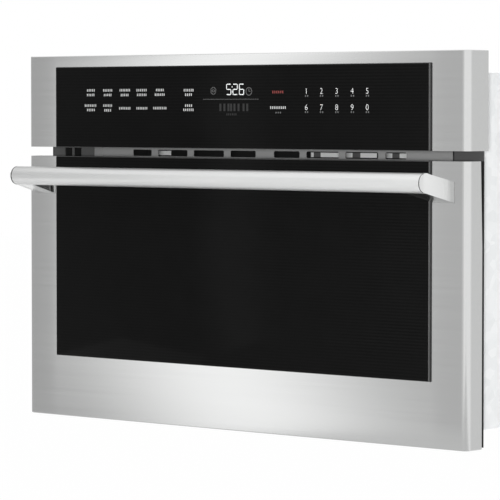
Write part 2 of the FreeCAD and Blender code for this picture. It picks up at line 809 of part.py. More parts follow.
def make_blower():
    t = d.blower_sheet
    reach = d.blower_wheel_diameter / 2 + d.blower_clearance
    x = blower_wall()
    shell_x = (x[0] - t, x[1] + t)
    y, z = d.blower_setback, blower_z()
    scroll = rod("scroll_outer", "X", reach + t, (shell_x[0], y, z), shell_x[1] - shell_x[0])
    mouth_z = (z, z + reach + t)
    mouth_y = (y - d.blower_mouth_length, y)
    mouth = block("mouth_outer", shell_x, mouth_y, mouth_z)
    foot_z = (ROOF_TOP, z)
    foot = block("blower_foot", shell_x, about(y, d.blower_foot), foot_z)
    hollow = rod("scroll_bore", "X", reach, (x[0], y, z), x[1] - x[0])
    throat = block("mouth_bore", x, (mouth_y[0] - PAST, y), (z + t, z + reach))
    eye = rod("blower_eye", "X", d.blower_wheel_diameter * 0.3, (x[1] - PAST, y, z), t + 2 * PAST)
    shaft_r = d.fan_shaft_diameter / 2
    bearing = rod(
        "blower_bearing", "X", shaft_r + d.shaft_clearance, (shell_x[0] - PAST, y, z), t + 2 * PAST,
    )
    shell = fuse("blower_shell", scroll, mouth, foot)
    piece("blower_housing", cut("blower_shape", shell, hollow, throat, eye, bearing))

    motor_x = shell_x[0] - d.blower_motor_length
    motor = rod(
        "blower_stator", "X", d.blower_motor_diameter / 2, (motor_x, y, z), d.blower_motor_length,
    )
    socket_at = (shell_x[0] - d.blower_motor_length / 2, y, z)
    socket = rod("blower_socket", "X", shaft_r + d.running_clearance, socket_at, d.blower_motor_length)
    piece("blower_motor", cut("blower_motor_shape", motor, socket))

    gap = d.blower_clearance
    wheel_x = (x[0] + gap, x[1] - gap)
    radius = d.blower_wheel_diameter / 2
    disc = rod("wheel_disc", "X", radius, (wheel_x[0], y, z), t)
    rim = rod("wheel_rim", "X", radius, (wheel_x[1] - t, y, z), t)
    rim_hole = rod("wheel_rim_hole", "X", radius * 0.8, (wheel_x[1] - PAST, y, z), 2 * PAST)
    hub = rod("wheel_hub", "X", d.fan_shaft_diameter, (wheel_x[0], y, z), d.blower_wheel_width / 2)
    shaft_start = shell_x[0] - d.blower_motor_length / 2 + d.shaft_clearance
    shaft = rod("wheel_shaft", "X", shaft_r, (shaft_start, y, z), wheel_x[0] - shaft_start + t)
    vanes = []
    for i in range(24):
        angle = math.radians(15 * i)
        at = (wheel_x[0], y + radius * 0.9 * math.cos(angle), z + radius * 0.9 * math.sin(angle))
        vanes.append(rod(f"wheel_vane_{i}", "X", t, at, d.blower_wheel_width))
    ring = cut("wheel_ring", rim, rim_hole)
    piece("blower_wheel", fuse("wheel_shape", disc, ring, hub, shaft, *vanes))


def convection_z():
    return (CAVITY_LOW + CAVITY_TOP) / 2


def make_convection():
    t = d.convection_sheet
    back = CAVITY_REAR + d.convection_depth
    z = convection_z()
    outer = block(
        "fan_box_outer", across(d.convection_width), (CAVITY_REAR, back), about(z, d.convection_width),
    )
    inside = d.convection_width - 2 * t
    hollow = block("fan_box_bore", across(inside), (CAVITY_REAR - PAST, back - t), about(z, inside))
    shaft_r = d.fan_shaft_diameter / 2
    hole = rod("fan_box_hole", "Y", shaft_r + d.shaft_clearance, (0, back - t - PAST, z), t + 2 * PAST)
    rod_r = d.heater_rod_diameter / 2
    heater_y = back - t - d.heater_standoff
    legs, leg_holes = [], []
    for side, word in SIDES:
        leg_at = (side * d.heater_leg_spacing / 2, heater_y, z + d.heater_diameter / 2)
        legs.append(
            rod(f"heater_leg_{word}", "Y", rod_r, leg_at, d.heater_standoff + d.heater_terminal),
        )
        hole_at = (leg_at[0], back - t - PAST, leg_at[2])
        leg_holes.append(
            rod(f"heater_hole_{word}", "Y", rod_r + d.running_clearance, hole_at, t + 2 * PAST),
        )
    piece("convection_housing", cut("fan_box_shape", outer, hollow, hole, *leg_holes))

    ring = doc.addObject("Part::Torus", "heater_ring")
    bind(ring, "Radius1", d.heater_diameter / 2)
    bind(ring, "Radius2", rod_r)
    move_to(ring, (0, heater_y, z), AXIS_TURN["Y"])
    piece("convection_heater", fuse("heater_shape", ring, *legs))

    motor_at = (0, back, z)
    motor = rod("fan_stator", "Y", d.convection_motor_diameter / 2, motor_at, d.convection_motor_length)
    socket = rod("fan_socket", "Y", shaft_r + d.running_clearance, (0, back - PAST, z),
                 d.convection_motor_length / 2 + PAST)
    piece("convection_motor", cut("fan_motor_shape", motor, socket))

    radius = d.convection_wheel_diameter / 2
    disc_y = heater_y - d.convection_blade_depth / 2
    disc = rod("fan_disc", "Y", radius, (0, disc_y + d.convection_blade_depth, z), t)
    shaft_end = back + d.convection_motor_length / 2 - d.shaft_clearance
    shaft = rod("fan_shaft", "Y", shaft_r, (0, disc_y, z), shaft_end - disc_y)
    blades = []
    for i in range(8):
        blade = block(f"fan_blade_{i}", (0, 0 + t), (0, d.convection_blade_depth), (0, radius * 0.6))
        turn = FreeCAD.Rotation(FreeCAD.Vector(0, 1, 0), 45 * i)
        angle = math.radians(45 * i)
        inner = radius * 0.38
        move_to(blade, (inner * math.sin(angle), disc_y, z + inner * math.cos(angle)), turn)
        blades.append(blade)
    piece("convection_fan", fuse("fan_shape", disc, shaft, *blades))


def tray_under():
    return CAVITY_LOW + d.roller_clearance + d.roller_diameter + d.roller_clearance


def make_turntable():
    radius = d.tray_diameter / 2
    low = tray_under()
    profile = [
        (0, 0), (radius - d.tray_rim, 0), (radius, d.tray_height - d.tray_glass / 2),
        (radius, d.tray_height), (radius - d.tray_rim, d.tray_glass), (0, d.tray_glass),
    ]
    piece("glass_tray", turned("tray", profile, (0, TRAY_Y, low)))

    shaft_r = d.drive_shaft_diameter / 2
    hub_low = CAVITY_LOW + d.roller_clearance + d.roller_diameter / 4
    hub = rod("coupler_hub", "Z", d.coupler_diameter / 2, (0, TRAY_Y, hub_low), low - hub_low)
    shaft_low = FLOOR_UNDER - d.turntable_motor_height / 2
    shaft = rod("coupler_shaft", "Z", shaft_r, (0, TRAY_Y, shaft_low), low - shaft_low)
    piece("turntable_coupler", fuse("coupler_shape", hub, shaft))

    motor_low = FLOOR_UNDER - d.turntable_motor_height
    can = rod("tray_motor_can", "Z", d.turntable_motor_diameter / 2, (0, TRAY_Y, motor_low),
              d.turntable_motor_height)
    ear_x = across(d.turntable_motor_diameter * 1.4)
    ears = block("tray_motor_ears", ear_x, about(TRAY_Y, d.turntable_motor_diameter / 3),
                 (FLOOR_UNDER - d.support_thickness, FLOOR_UNDER))
    socket = rod("tray_motor_socket", "Z", shaft_r + d.running_clearance,
                 (0, TRAY_Y, shaft_low - d.shaft_clearance), d.turntable_motor_height)
    piece("turntable_motor", cut("tray_motor_shape", fuse("tray_motor_body", can, ears), socket))

    axle_z = CAVITY_LOW + d.roller_clearance + d.roller_diameter / 2
    outer_r = d.ring_diameter / 2
    inner_r = outer_r - d.ring_width
    ring_low = axle_z - d.ring_thickness / 2
    ring = rod("ring_outer", "Z", outer_r, (0, TRAY_Y, ring_low), d.ring_thickness)
    hole = rod("ring_hole", "Z", inner_r, (0, TRAY_Y, ring_low - PAST), d.ring_thickness + 2 * PAST)
    axles = []
    reach = d.ring_width / 2 + d.roller_clearance + d.roller_width + d.roller_clearance
    for i in range(3):
        angle = 120 * i + 90
        turn = FreeCAD.Rotation(FreeCAD.Vector(0, 0, 1), angle).multiply(AXIS_TURN["X"])
        out = (math.cos(math.radians(angle)), math.sin(math.radians(angle)))
        start = outer_r - d.ring_width / 2
        axle = rod(f"ring_axle_{i}", "X", d.axle_diameter / 2, (0, 0, 0), reach)
        move_to(axle, (start * out[0], TRAY_Y + start * out[1], axle_z), turn)
        axles.append(axle)
        wheel_start = outer_r + d.roller_clearance
        wheel = rod(f"roller_disc_{i}", "X", d.roller_diameter / 2, (0, 0, 0), d.roller_width)
        bore = rod(
            f"roller_bore_{i}", "X", d.axle_diameter / 2 + d.running_clearance, (0, 0, 0),
            d.roller_width,
        )
        for part in (wheel, bore):
            move_to(part, (wheel_start * out[0], TRAY_Y + wheel_start * out[1], axle_z), turn)
        piece(f"roller_{i + 1}", cut(f"roller_shape_{i}", wheel, bore))
    piece("roller_ring", fuse("ring_shape", cut("ring_band", ring, hole), *axles))


def make_lamp():
    wall = -(HALF_CAVITY + d.cavity_sheet)
    y = about(d.lamp_setback, d.lamp_holder_length)
    z = about(lamp_z(), d.lamp_holder_length)
    x = (wall - d.lamp_length - d.lamp_holder_depth, wall)
    shell = block("lamp_box", x, y, z)
    hollow_x = (wall - d.lamp_length, wall + PAST)
    wall_t = (d.lamp_holder_length - d.lamp_diameter) / 4
    hollow = block(
        "lamp_box_bore", hollow_x, (y[0] + wall_t, y[1] - wall_t), (z[0] + wall_t, z[1] - wall_t),
    )
    piece("lamp_holder", cut("lamp_holder_shape", shell, hollow))
    radius = d.lamp_diameter / 2
    neck = d.lamp_length / 3
    profile = [
        (0, 0), (radius * 0.6, 0), (radius * 0.6, neck), (radius, 2 * neck),
        (radius * 0.7, d.lamp_length - neck / 4), (0, d.lamp_length - neck / 8),
    ]
    piece("cavity_lamp", turned("lamp_bulb", profile, (hollow_x[0], d.lamp_setback, lamp_z()), "X"))


def make_small_electrics():
    half = d.cutout_diameter / 2
    roof_at = (-d.magnetron_offset, d.feed_setback, ROOF_TOP)
    on_roof = rod("cutout_roof", "Z", half, roof_at, d.cutout_height)
    side_at = (d.convection_width / 2, CAVITY_REAR + d.convection_depth / 2, convection_z())
    on_fan = rod("cutout_fan", "X", half, side_at, d.cutout_height)
    piece("thermal_cutouts", group("cutout_pair", on_roof, on_fan))

    x = (COVER_INSIDE - d.base_sheet - d.filter_width, COVER_INSIDE - d.base_sheet)
    y = (REAR_INSIDE - d.filter_length, REAR_INSIDE)
    low = BODY_TOP - d.cover_sheet - d.filter_drop
    board = block("filter_board", x, y, (low, low + d.board_thickness))
    bracket_z = (low, BODY_TOP - d.cover_sheet)
    bracket = block("filter_bracket", (x[0], x[0] + d.support_thickness), y, bracket_z)
    choke_at = ((x[0] + x[1]) / 2, (y[0] + y[1]) / 2, low)
    choke = rod("filter_choke", "Z", d.filter_width / 4, choke_at, d.filter_drop / 2)
    piece("noise_filter", fuse("filter_shape", board, bracket, choke))


def make_bezel():
    z = (BEZEL_LOW, BEZEL_TOP)
    t = d.steel_sheet
    outer = rounded_front("bezel_outer", HALF_TRIM, (STEEL_FRONT, -d.flange_sheet), z, d.edge_radius)
    inside_z = (BEZEL_LOW - PAST, BEZEL_TOP - t)
    inner = rounded_front(
        "bezel_inner", HALF_TRIM - t, (STEEL_BACK, as_size(PAST)), inside_z, d.edge_radius - t,
    )
    glass_top = BEZEL_TOP - d.bezel_strip
    gap = d.glass_clearance
    window = block(
        "bezel_window", (-HALF_GLASS - gap, HALF_GLASS + gap), (STEEL_FRONT - PAST, STEEL_BACK + PAST),
        (BEZEL_LOW - PAST, glass_top + gap),
    )
    piece("bezel_frame", cut("bezel_shape", outer, inner, window))
    glass = block(
        "control_pane", (-HALF_GLASS, HALF_GLASS), (GLASS_FRONT, STEEL_BACK), (BEZEL_LOW, glass_top),
    )
    piece("control_glass", glass)

    half = HALF_GLASS + d.carrier_margin
    carrier_z = (BEZEL_LOW, BEZEL_TOP - t)
    wall = d.carrier_wall
    shell = block("carrier_outer", (-half, half), (STEEL_BACK, FLANGE_FRONT), carrier_z)
    hollow = block("carrier_bore", (wall - half, half - wall), (STEEL_BACK + wall, FLANGE_FRONT + PAST),
                   (carrier_z[0] + wall, carrier_z[1] - wall))
    display_x = across(d.display_width)
    display_z = about(BEZEL_LOW + d.bezel_height / 2, d.display_height)
    hole = block(
        "carrier_window", (display_x[0] - gap, display_x[1] + gap),
        (STEEL_BACK - PAST, STEEL_BACK + PAST), (display_z[0] - gap, display_z[1] + gap),
    )
    piece("bezel_carrier", cut("carrier_shape", shell, hollow, hole))
    display_y = (STEEL_BACK, STEEL_BACK + d.display_depth)
    piece("display_module", block("display_block", display_x, display_y, display_z))

    board_y = STEEL_BACK + d.board_setback
    board_z = about(BEZEL_LOW + d.bezel_height / 2, d.board_height)
    board = block(
        "control_plate", across(d.board_length), (board_y, board_y + d.board_thickness), board_z,
    )
    posts = []
    for side, word in SIDES:
        for level, height in (("low", board_z[0]), ("high", board_z[1])):
            inset = d.carrier_wall if level == "low" else -d.carrier_wall
            at = (
                side * (d.board_length / 2 - 2 * d.carrier_wall), STEEL_BACK + wall, height + 2 * inset,
            )
            posts.append(
                rod(f"board_post_{word}_{level}", "Y", d.carrier_wall, at, d.board_setback - wall),
            )
    relays = []
    for i in range(4):
        middle = d.relay_pitch * (i - 1.5)
        relays.append(block(f"relay_{i}", about(middle, d.relay_pitch / 2),
                            (board_y + d.board_thickness, board_y + d.board_thickness + d.relay_height),
                            about(BEZEL_LOW + d.bezel_height / 2, d.relay_pitch / 2)))
    piece("control_board", fuse("control_board_shape", board, *posts, *relays))


def make_door():
    t = d.steel_sheet
    gap = d.glass_clearance
    z = (DOOR_LOW, DOOR_TOP)
    outer = rounded_front("skin_outer", HALF_TRIM, (STEEL_FRONT, DOOR_REAR), z, d.edge_radius)
    inside_z = (DOOR_LOW + t, DOOR_TOP + PAST)
    inner = rounded_front(
        "skin_inner", HALF_TRIM - t, (STEEL_BACK, DOOR_REAR + PAST), inside_z, d.edge_radius - t,
    )
    glass_low = DOOR_LOW + d.door_band
    window = block(
        "skin_window", (-HALF_GLASS - gap, HALF_GLASS + gap), (STEEL_FRONT - PAST, STEEL_BACK + PAST),
        (glass_low - gap, DOOR_TOP + PAST),
    )
    screw_holes = handle_holes("skin", STEEL_FRONT - PAST, STEEL_BACK + PAST)
    half_sill = HALF_TRIM - t
    sill_y = (DOOR_REAR - d.door_sill_relief, DOOR_REAR + PAST)
    sill = block(
        "skin_sill_relief", (-half_sill, half_sill), sill_y, (DOOR_LOW - PAST, DOOR_LOW + t + PAST),
    )
    piece("door_skin", cut("skin_shape", outer, inner, window, sill, *screw_holes))
    glass = block(
        "door_pane", (-HALF_GLASS, HALF_GLASS), (GLASS_FRONT, STEEL_BACK), (glass_low, DOOR_TOP),
    )
    piece("door_glass", glass)

    wall = d.door_frame_sheet
    frame_half = HALF_TRIM - d.edge_radius
    frame_z = (DOOR_LOW + t + d.door_clearance, DOOR_TOP)
    pan = block("pan_outer", (-frame_half, frame_half), (STEEL_BACK, DOOR_REAR), frame_z)
    hollow = block(
        "pan_bore", (wall - frame_half, frame_half - wall), (STEEL_BACK + wall, DOOR_REAR + PAST),
        (frame_z[0] + wall, frame_z[1] - wall),
    )
    view = block(
        "pan_window", (-HALF_WINDOW, HALF_WINDOW), (STEEL_BACK - PAST, STEEL_BACK + PAST), window_z(),
    )
    pan_holes = handle_holes("pan", STEEL_BACK - PAST, STEEL_BACK + PAST)
    piece("door_frame", cut("pan_shape", pan, hollow, view, *pan_holes))

    front = STEEL_BACK + wall
    back = FLANGE_FRONT - d.choke_back_gap
    cover_front = back - d.choke_cover_sheet
    s = d.choke_sheet
    choke_x = (-HALF_CAVITY - d.choke_margin, HALF_CAVITY + d.choke_margin)
    choke_z = (CAVITY_LOW - d.choke_margin, DOOR_TOP - wall - d.door_clearance)
    body = block("choke_outer", choke_x, (front, cover_front), choke_z)
    channel = block("choke_bore", (choke_x[0] + s, choke_x[1] - s), (front - PAST, cover_front - s),
                    (choke_z[0] + s, choke_z[1] - s))
    around = block("choke_collar", (-HALF_WINDOW - s, HALF_WINDOW + s), (front, cover_front),
                   (window_z()[0] - s, window_z()[1] + s))
    opening = block(
        "choke_window", (-HALF_WINDOW, HALF_WINDOW), (front - PAST, back + PAST), window_z(),
    )
    shell = fuse("choke_shell", cut("choke_tray", body, channel), around)
    piece("choke_panel", cut("choke_shape", shell, opening))

    cover = block("choke_cover_plate", choke_x, (cover_front, back), choke_z)
    pane_lip = d.inner_pane
    lip_x = (pane_lip - HALF_WINDOW, HALF_WINDOW - pane_lip)
    lip_z = (window_z()[0] + pane_lip, window_z()[1] - pane_lip)
    hole = block("choke_cover_hole", lip_x, (cover_front - PAST, back + PAST), lip_z)
    piece("choke_cover", cut("choke_cover_shape", cover, hole))

    clear = d.door_clearance
    pane_x = (clear - HALF_WINDOW, HALF_WINDOW - clear)
    pane_z = (window_z()[0] + clear, window_z()[1] - clear)
    piece(
        "inner_window",
        block("inner_pane_block", pane_x, (cover_front - d.inner_pane, cover_front), pane_z),
    )
    screen_y = front + d.screen_setback
    piece(
        "window_screen",
        block("screen_sheet_block", pane_x, (screen_y, screen_y + d.screen_sheet), pane_z),
    )


def window_z():
    """The window's two levels, inside those of the cavity."""
    return (CAVITY_LOW + d.window_margin, CAVITY_TOP - d.window_margin)


def handle_holes(name, start, end):
    holes = []
    for side, word in SIDES:
        at = (side * post_x(), start, FOOT_Z)
        holes.append(
            rod(f"{name}_handle_hole_{word}", "Y", d.handle_screw_diameter / 2, at, end - start),
        )
    return holes


def post_x():
    return HALF_HANDLE - d.post_width / 2


def make_handle():
    radius = d.handle_diameter / 2
    span = 2 * (HALF_HANDLE - d.post_cap_width)
    tube = rod("handle_tube", "X", radius, (-(span / 2), HANDLE_Y, HANDLE_Z), span)
    bore_at = (-(span / 2) - PAST, HANDLE_Y, HANDLE_Z)
    tube_bore = rod("handle_bore", "X", radius - d.handle_wall, bore_at, span + 2 * PAST)
    piece("handle_bar", cut("handle_tube_shape", tube, tube_bore))
    collar_y = STEEL_FRONT - d.collar_depth
    posts, collars, screws = [], [], []
    half = d.foot_height / 2
    rise = d.foot_drop * d.collar_depth / d.handle_standoff
    for side, word in SIDES:
        x = about(side * post_x(), d.post_width)
        cap_at = x[1] - d.post_cap_width if side > 0 else x[0]
        cap = rod(f"post_cap_{word}", "X", radius, (cap_at, HANDLE_Y, HANDLE_Z), d.post_cap_width)
        seat_at = x[0] - PAST if side > 0 else x[0] + d.post_cap_width
        seat_length = d.post_width - d.post_cap_width + PAST
        seat = rod(f"post_seat_{word}", "X", radius, (seat_at, HANDLE_Y, HANDLE_Z), seat_length)
        points = [
            (HANDLE_Y, HANDLE_Z - radius), (collar_y, FOOT_Z + rise - half),
            (collar_y, FOOT_Z + rise + half), (HANDLE_Y, HANDLE_Z + radius),
        ]
        arm = cut(f"post_arm_{word}", side_profile(f"post_block_{word}", x, points), seat)
        screw_r = d.handle_screw_diameter / 2
        hole_at = (side * post_x(), collar_y - d.collar_depth, FOOT_Z)
        tap = rod(f"post_tap_{word}", "Y", screw_r, hole_at, d.collar_depth + PAST)
        posts.append(cut(f"post_{word}", fuse(f"post_body_{word}", cap, arm), tap))
        ring = side_profile(f"collar_block_{word}", x, [
            (collar_y, FOOT_Z + rise - half), (STEEL_FRONT, FOOT_Z - half),
            (STEEL_FRONT, FOOT_Z + half), (collar_y, FOOT_Z + rise + half),
        ])
        bore = rod(f"collar_bore_{word}", "Y", screw_r, (side * post_x(), collar_y - PAST, FOOT_Z),
                   d.collar_depth + 2 * PAST)
        collars.append(cut(f"collar_{word}", ring, bore))
        head_y = STEEL_BACK + d.door_frame_sheet
        shank = rod(f"handle_shank_{word}", "Y", screw_r, hole_at, head_y - hole_at[1])
        head = rod(
            f"handle_head_{word}", "Y", d.screw_head_diameter / 2, (side * post_x(), head_y, FOOT_Z),
            d.screw_head_height,
        )
        screws.append(fuse(f"handle_screw_{word}", shank, head))
    piece("handle_posts", group("post_pair", *posts))
    piece("handle_collars", group("collar_pair", *collars))
    piece("handle_screws", group("handle_screw_pair", *screws))


def make_hinges():
    arms, brackets, pins = [], [], []
    eye = d.hinge_eye_radius
    pin_r = d.hinge_pin_diameter / 2
    arm_front = STEEL_BACK + d.door_frame_sheet
    arm_rear = HINGE_Y + eye
    arm_top = HINGE_Z + d.hinge_arm_rise
    for side, word in SIDES:
        middle = side * (HALF_BODY - d.hinge_inset)
        x = about(middle, d.hinge_arm_thickness)
        length = d.hinge_arm_thickness
        leaf = block(f"arm_leaf_{word}", x, (arm_front, arm_rear), (HINGE_Z, arm_top))
        knuckle = rod(f"arm_eye_{word}", "X", eye, (x[0], HINGE_Y, HINGE_Z), length)
        hole = rod(
            f"arm_hole_{word}", "X", pin_r + d.running_clearance, (x[0] - PAST, HINGE_Y, HINGE_Z),
            length + 2 * PAST,
        )
        arms.append(cut(f"arm_{word}", fuse(f"arm_body_{word}", leaf, knuckle), hole))

        inside = about(middle, length + 2 * d.hinge_side_gap)
        outside = (inside[0] - d.hinge_plate, inside[1] + d.hinge_plate)
        foot_low = HINGE_Z + 2 * eye
        foot_top = foot_low + d.hinge_foot_height
        plate_front = FLANGE_FRONT - d.hinge_foot_sheet
        foot = block(f"hinge_foot_{word}", outside, (plate_front, FLANGE_FRONT), (foot_low, foot_top))
        plates = []
        for n, span in enumerate(((outside[0], inside[0]), (inside[1], outside[1]))):
            width = d.hinge_plate
            boss = rod(f"hinge_boss_{word}_{n}", "X", eye, (span[0], HINGE_Y, HINGE_Z), width)
            web = side_profile(f"hinge_web_{word}_{n}", span, [
                (HINGE_Y - eye * 0.6, HINGE_Z + eye * 0.8), (HINGE_Y + eye * 0.7, HINGE_Z - eye * 0.5),
                (FLANGE_FRONT, foot_low), (FLANGE_FRONT, foot_top), (plate_front, foot_top),
            ])
            plates += [boss, web]
        hole_at = (outside[0] - PAST, HINGE_Y, HINGE_Z)
        bore = rod(f"hinge_bore_{word}", "X", pin_r, hole_at, outside[1] - outside[0] + 2 * PAST)
        brackets.append(cut(f"hinge_bracket_{word}", fuse(f"hinge_body_{word}", foot, *plates), bore))
        pins.append(
            rod(
                f"hinge_pin_{word}", "X", pin_r, (outside[0], HINGE_Y, HINGE_Z),
                outside[1] - outside[0],
            ),
        )
    piece("hinge_arms", group("arm_pair", *arms))
    piece("hinge_brackets", group("bracket_pair", *brackets))
    piece("hinge_pins", group("pin_pair", *pins))


def make_latches():
    left_a, left_b, right = hook_centres()
    half = d.hook_thickness / 2
    hook_top = DOOR_TOP - d.hook_below_top
    hook_low = hook_top - d.hook_height
    pin_y = -d.latch_pin_setback
    pin_z = hook_low
    pin_r = d.latch_pin_diameter / 2
    hub_r = d.latch_pin_diameter
    front = STEEL_BACK + d.door_frame_sheet
    pins, brackets, switches = [], [], []
    for word, centres in (("left", (left_a, left_b)), ("right", (right,))):
        low_x, high_x = centres[0] - half, centres[-1] + half
        parts = [rod(f"hook_hub_{word}", "X", hub_r, (low_x, pin_y, pin_z), high_x - low_x)]
        for n, centre in enumerate(centres):
            x = (centre - half, centre + half)
            parts.append(
                side_profile(
                    f"hook_arm_{word}_{n}", x,
                    [
                        (pin_y, pin_z - hub_r * 0.7), (d.hook_reach, hook_low + hub_r / 2),
                        (d.hook_reach, hook_top), (pin_y, pin_z + hub_r * 0.7),
                    ],
                ),
            )
            switch_top = hook_low - hub_r - d.switch_gap
            switches.append(
                block(
                    f"switch_{word}_{n}", about(centre, d.latch_slot_width), (0, d.switch_length),
                    (switch_top - d.switch_height, switch_top),
                ),
            )
        bore = rod(f"hook_bore_{word}", "X", pin_r + d.running_clearance, (low_x - PAST, pin_y, pin_z),
                   high_x - low_x + 2 * PAST)
        piece(f"latch_hook_{word}", cut(f"hook_{word}", fuse(f"hook_body_{word}", *parts), bore))

        ear = d.hinge_plate
        gap = d.hinge_side_gap
        pin_parts = [rod(f"latch_pin_{word}", "X", pin_r, (low_x - gap - ear, pin_y, pin_z),
                         high_x - low_x + 2 * (gap + ear))]
        for n, x0 in enumerate((low_x - gap - ear, high_x + gap)):
            pin_parts.append(block(f"latch_ear_{word}_{n}", (x0, x0 + ear), (front, pin_y + hub_r),
                                   about(pin_z, 2 * hub_r)))
        pins.append(fuse(f"latch_ears_{word}", *pin_parts))

        rest_top = hook_low - hub_r - d.switch_gap - d.switch_height
        shelf_x = (centres[0] - d.latch_slot_width / 2, centres[-1] + d.latch_slot_width / 2)
        shelf = block(
            f"latch_shelf_{word}", shelf_x, (0, d.switch_length), (rest_top - d.hinge_plate, rest_top),
        )
        tab = block(
            f"latch_tab_{word}", shelf_x, (0, d.hinge_plate), (slot_low() - 3 * hub_r, rest_top),
        )
        brackets.append(fuse(f"latch_rest_{word}", shelf, tab))
    piece("latch_pins", group("latch_pin_pair", *pins))
    piece("latch_brackets", group("latch_rest_pair", *brackets))
    piece("interlock_switches", group("switch_set", *switches))


def make_screws():
    radius = d.case_screw_diameter / 2
    screws = []
    edge = d.case_screw_diameter
    side = HALF_BODY - edge
    spots = [(x, z) for x in (-side, side) for z in (3 * edge, BODY_TOP - edge)]
    spots += [(as_size(0), BODY_TOP - edge), (as_size(0), 3 * edge)]
    for i, (x, z) in enumerate(spots):
        screws.append(rod(f"case_screw_{i}", "Y", radius, (x, BODY_REAR, z), d.case_screw_height))
    piece("case_screws", group("case_screw_set", *screws))


make_base()
make_cover()
make_rear()
make_inlet()
make_front_frame()
make_vent()
make_cavity()
make_feed()
make_power()
make_capacitor()
make_blower()
make_convection()
make_turntable()
make_lamp()
make_small_electrics()
make_bezel()
make_door()
make_handle()
make_hinges()
make_latches()
make_screws()
doc.recompute()

for obj in doc.Objects:
    if "Invalid" in obj.State or "Error" in obj.State:
        raise RuntimeError(f"{obj.Label} failed: {obj.State}")
for obj in pieces:
    if obj.Shape.isNull() or not obj.Shape.isValid() or not obj.Shape.Solids:
        raise RuntimeError(f"{obj.Label} has no valid solid")

os.makedirs("parts", exist_ok=True)
for obj in pieces:
    obj.Shape.exportStep(f"parts/{obj.Label}.step")
print(len(pieces), "sub-parts written")
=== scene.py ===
"""Looks of the built-in microwave: brushed steel front, dark glass, panel marks, studio and camera.

Lengths are metres in the CAD frame: X to the right, Y to the back, Z up. The front faces -Y.
"""
import json
import math

import bmesh
import bpy
from mathutils import Matrix, Vector


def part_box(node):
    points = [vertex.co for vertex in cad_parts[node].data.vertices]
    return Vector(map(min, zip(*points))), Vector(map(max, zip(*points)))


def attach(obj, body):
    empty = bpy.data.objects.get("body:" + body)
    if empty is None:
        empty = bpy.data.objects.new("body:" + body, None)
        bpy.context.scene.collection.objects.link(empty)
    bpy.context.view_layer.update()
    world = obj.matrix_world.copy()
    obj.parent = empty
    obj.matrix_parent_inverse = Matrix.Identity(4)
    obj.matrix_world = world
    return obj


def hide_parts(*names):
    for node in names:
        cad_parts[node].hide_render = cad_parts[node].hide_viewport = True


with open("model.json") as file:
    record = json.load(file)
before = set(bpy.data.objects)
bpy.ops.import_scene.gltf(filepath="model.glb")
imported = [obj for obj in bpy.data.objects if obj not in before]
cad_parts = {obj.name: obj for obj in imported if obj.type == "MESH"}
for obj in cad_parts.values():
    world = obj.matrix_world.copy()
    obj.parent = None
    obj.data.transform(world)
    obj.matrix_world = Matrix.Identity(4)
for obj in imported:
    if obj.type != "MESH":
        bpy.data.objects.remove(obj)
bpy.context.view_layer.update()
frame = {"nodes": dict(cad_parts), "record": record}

MM = 0.001
TINY = 0.01 * MM
QUARTER_TURN = math.pi / 2
SIDES = ((-1, "left"), (1, "right"))
ARRIS_SEGMENTS = 2

# A face looks along an axis, and an edge is smooth, within these
FLAT = 0.99
SMOOTH_ANGLE = math.radians(32)

# Steel sheet of the door and of the panel above it
SKIN_LOW, SKIN_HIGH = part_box("door_skin")
BEZEL_LOW, BEZEL_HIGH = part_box("bezel_frame")
SHEET = 1.0 * MM
EDGE_RADIUS = 9.5 * MM
EDGE_SEGMENTS = 12
FOLD_RADIUS = 1.2 * MM
FOLD_SEGMENTS = 4
SILL_RELIEF = 5 * MM
TAPER = 3.1 * MM
TAPER_RUN = 105 * MM

# Panes and their seals
PANE_LOW, PANE_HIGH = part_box("door_glass")
PANEL_LOW, PANEL_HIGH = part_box("control_glass")
GLASS_GAP = 0.3 * MM
GLASS_ARRIS = 0.5 * MM
SEAL_WIDTH = 1.4 * MM
SEAL_DROP = 0.3 * MM

# Handle: bar with a seam and a cap at each end
BAR_LOW, BAR_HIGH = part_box("handle_bar")
BAR_RADIUS = (BAR_HIGH.z - BAR_LOW.z) / 2
BAR_Y = (BAR_HIGH.y + BAR_LOW.y) / 2
BAR_Z = (BAR_HIGH.z + BAR_LOW.z) / 2
BAR_END = 352.6 * MM
BAR_SEGMENTS = 96
BAR_ARRIS = 0.3 * MM
CAP_WIDTH = 0.8 * MM
CAP_PROUD = 2 * TINY
SEAM_WIDTH = 1.5 * MM
SEAM_DEPTH = 0.25 * MM

# Handle: posts, feet, gaskets and screws
COLLAR_LOW, COLLAR_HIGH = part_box("handle_collars")
SCREW_LOW, SCREW_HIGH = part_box("handle_screws")
POST_WIDTH = 33.2 * MM
POST_STEPS = 32
POST_ARRIS = 0.4 * MM
SLAB_SEGMENTS = 3
SHADED_UNDERSIDE = 0.7
FOOT_ARRIS = 0.5 * MM
FOOT_END = 359.4 * MM
FOOT_HEIGHT = 25.8 * MM
FOOT_PROUD = 2.6 * MM
FOOT_DROP = 11.9 * MM
FOOT_FRONT = COLLAR_LOW.y - FOOT_PROUD
FOOT_DEPTH = COLLAR_HIGH.y - FOOT_FRONT
FOOT_Z = BAR_Z - FOOT_DROP
GASKET = 1.2 * MM
SHANK_RADIUS = 2.5 * MM
HEAD_RADIUS = 4.5 * MM
HEAD_HEIGHT = 3 * MM
SCREW_SEGMENTS = 24


# Patterns that several finishes share

# The wave texture makes 20 radians per unit of scale and length
LINE_PITCH = 3.93 * MM
LINE_WAVE = 2 * math.pi / 20 / LINE_PITCH
HOLE_RADIUS = 0.36


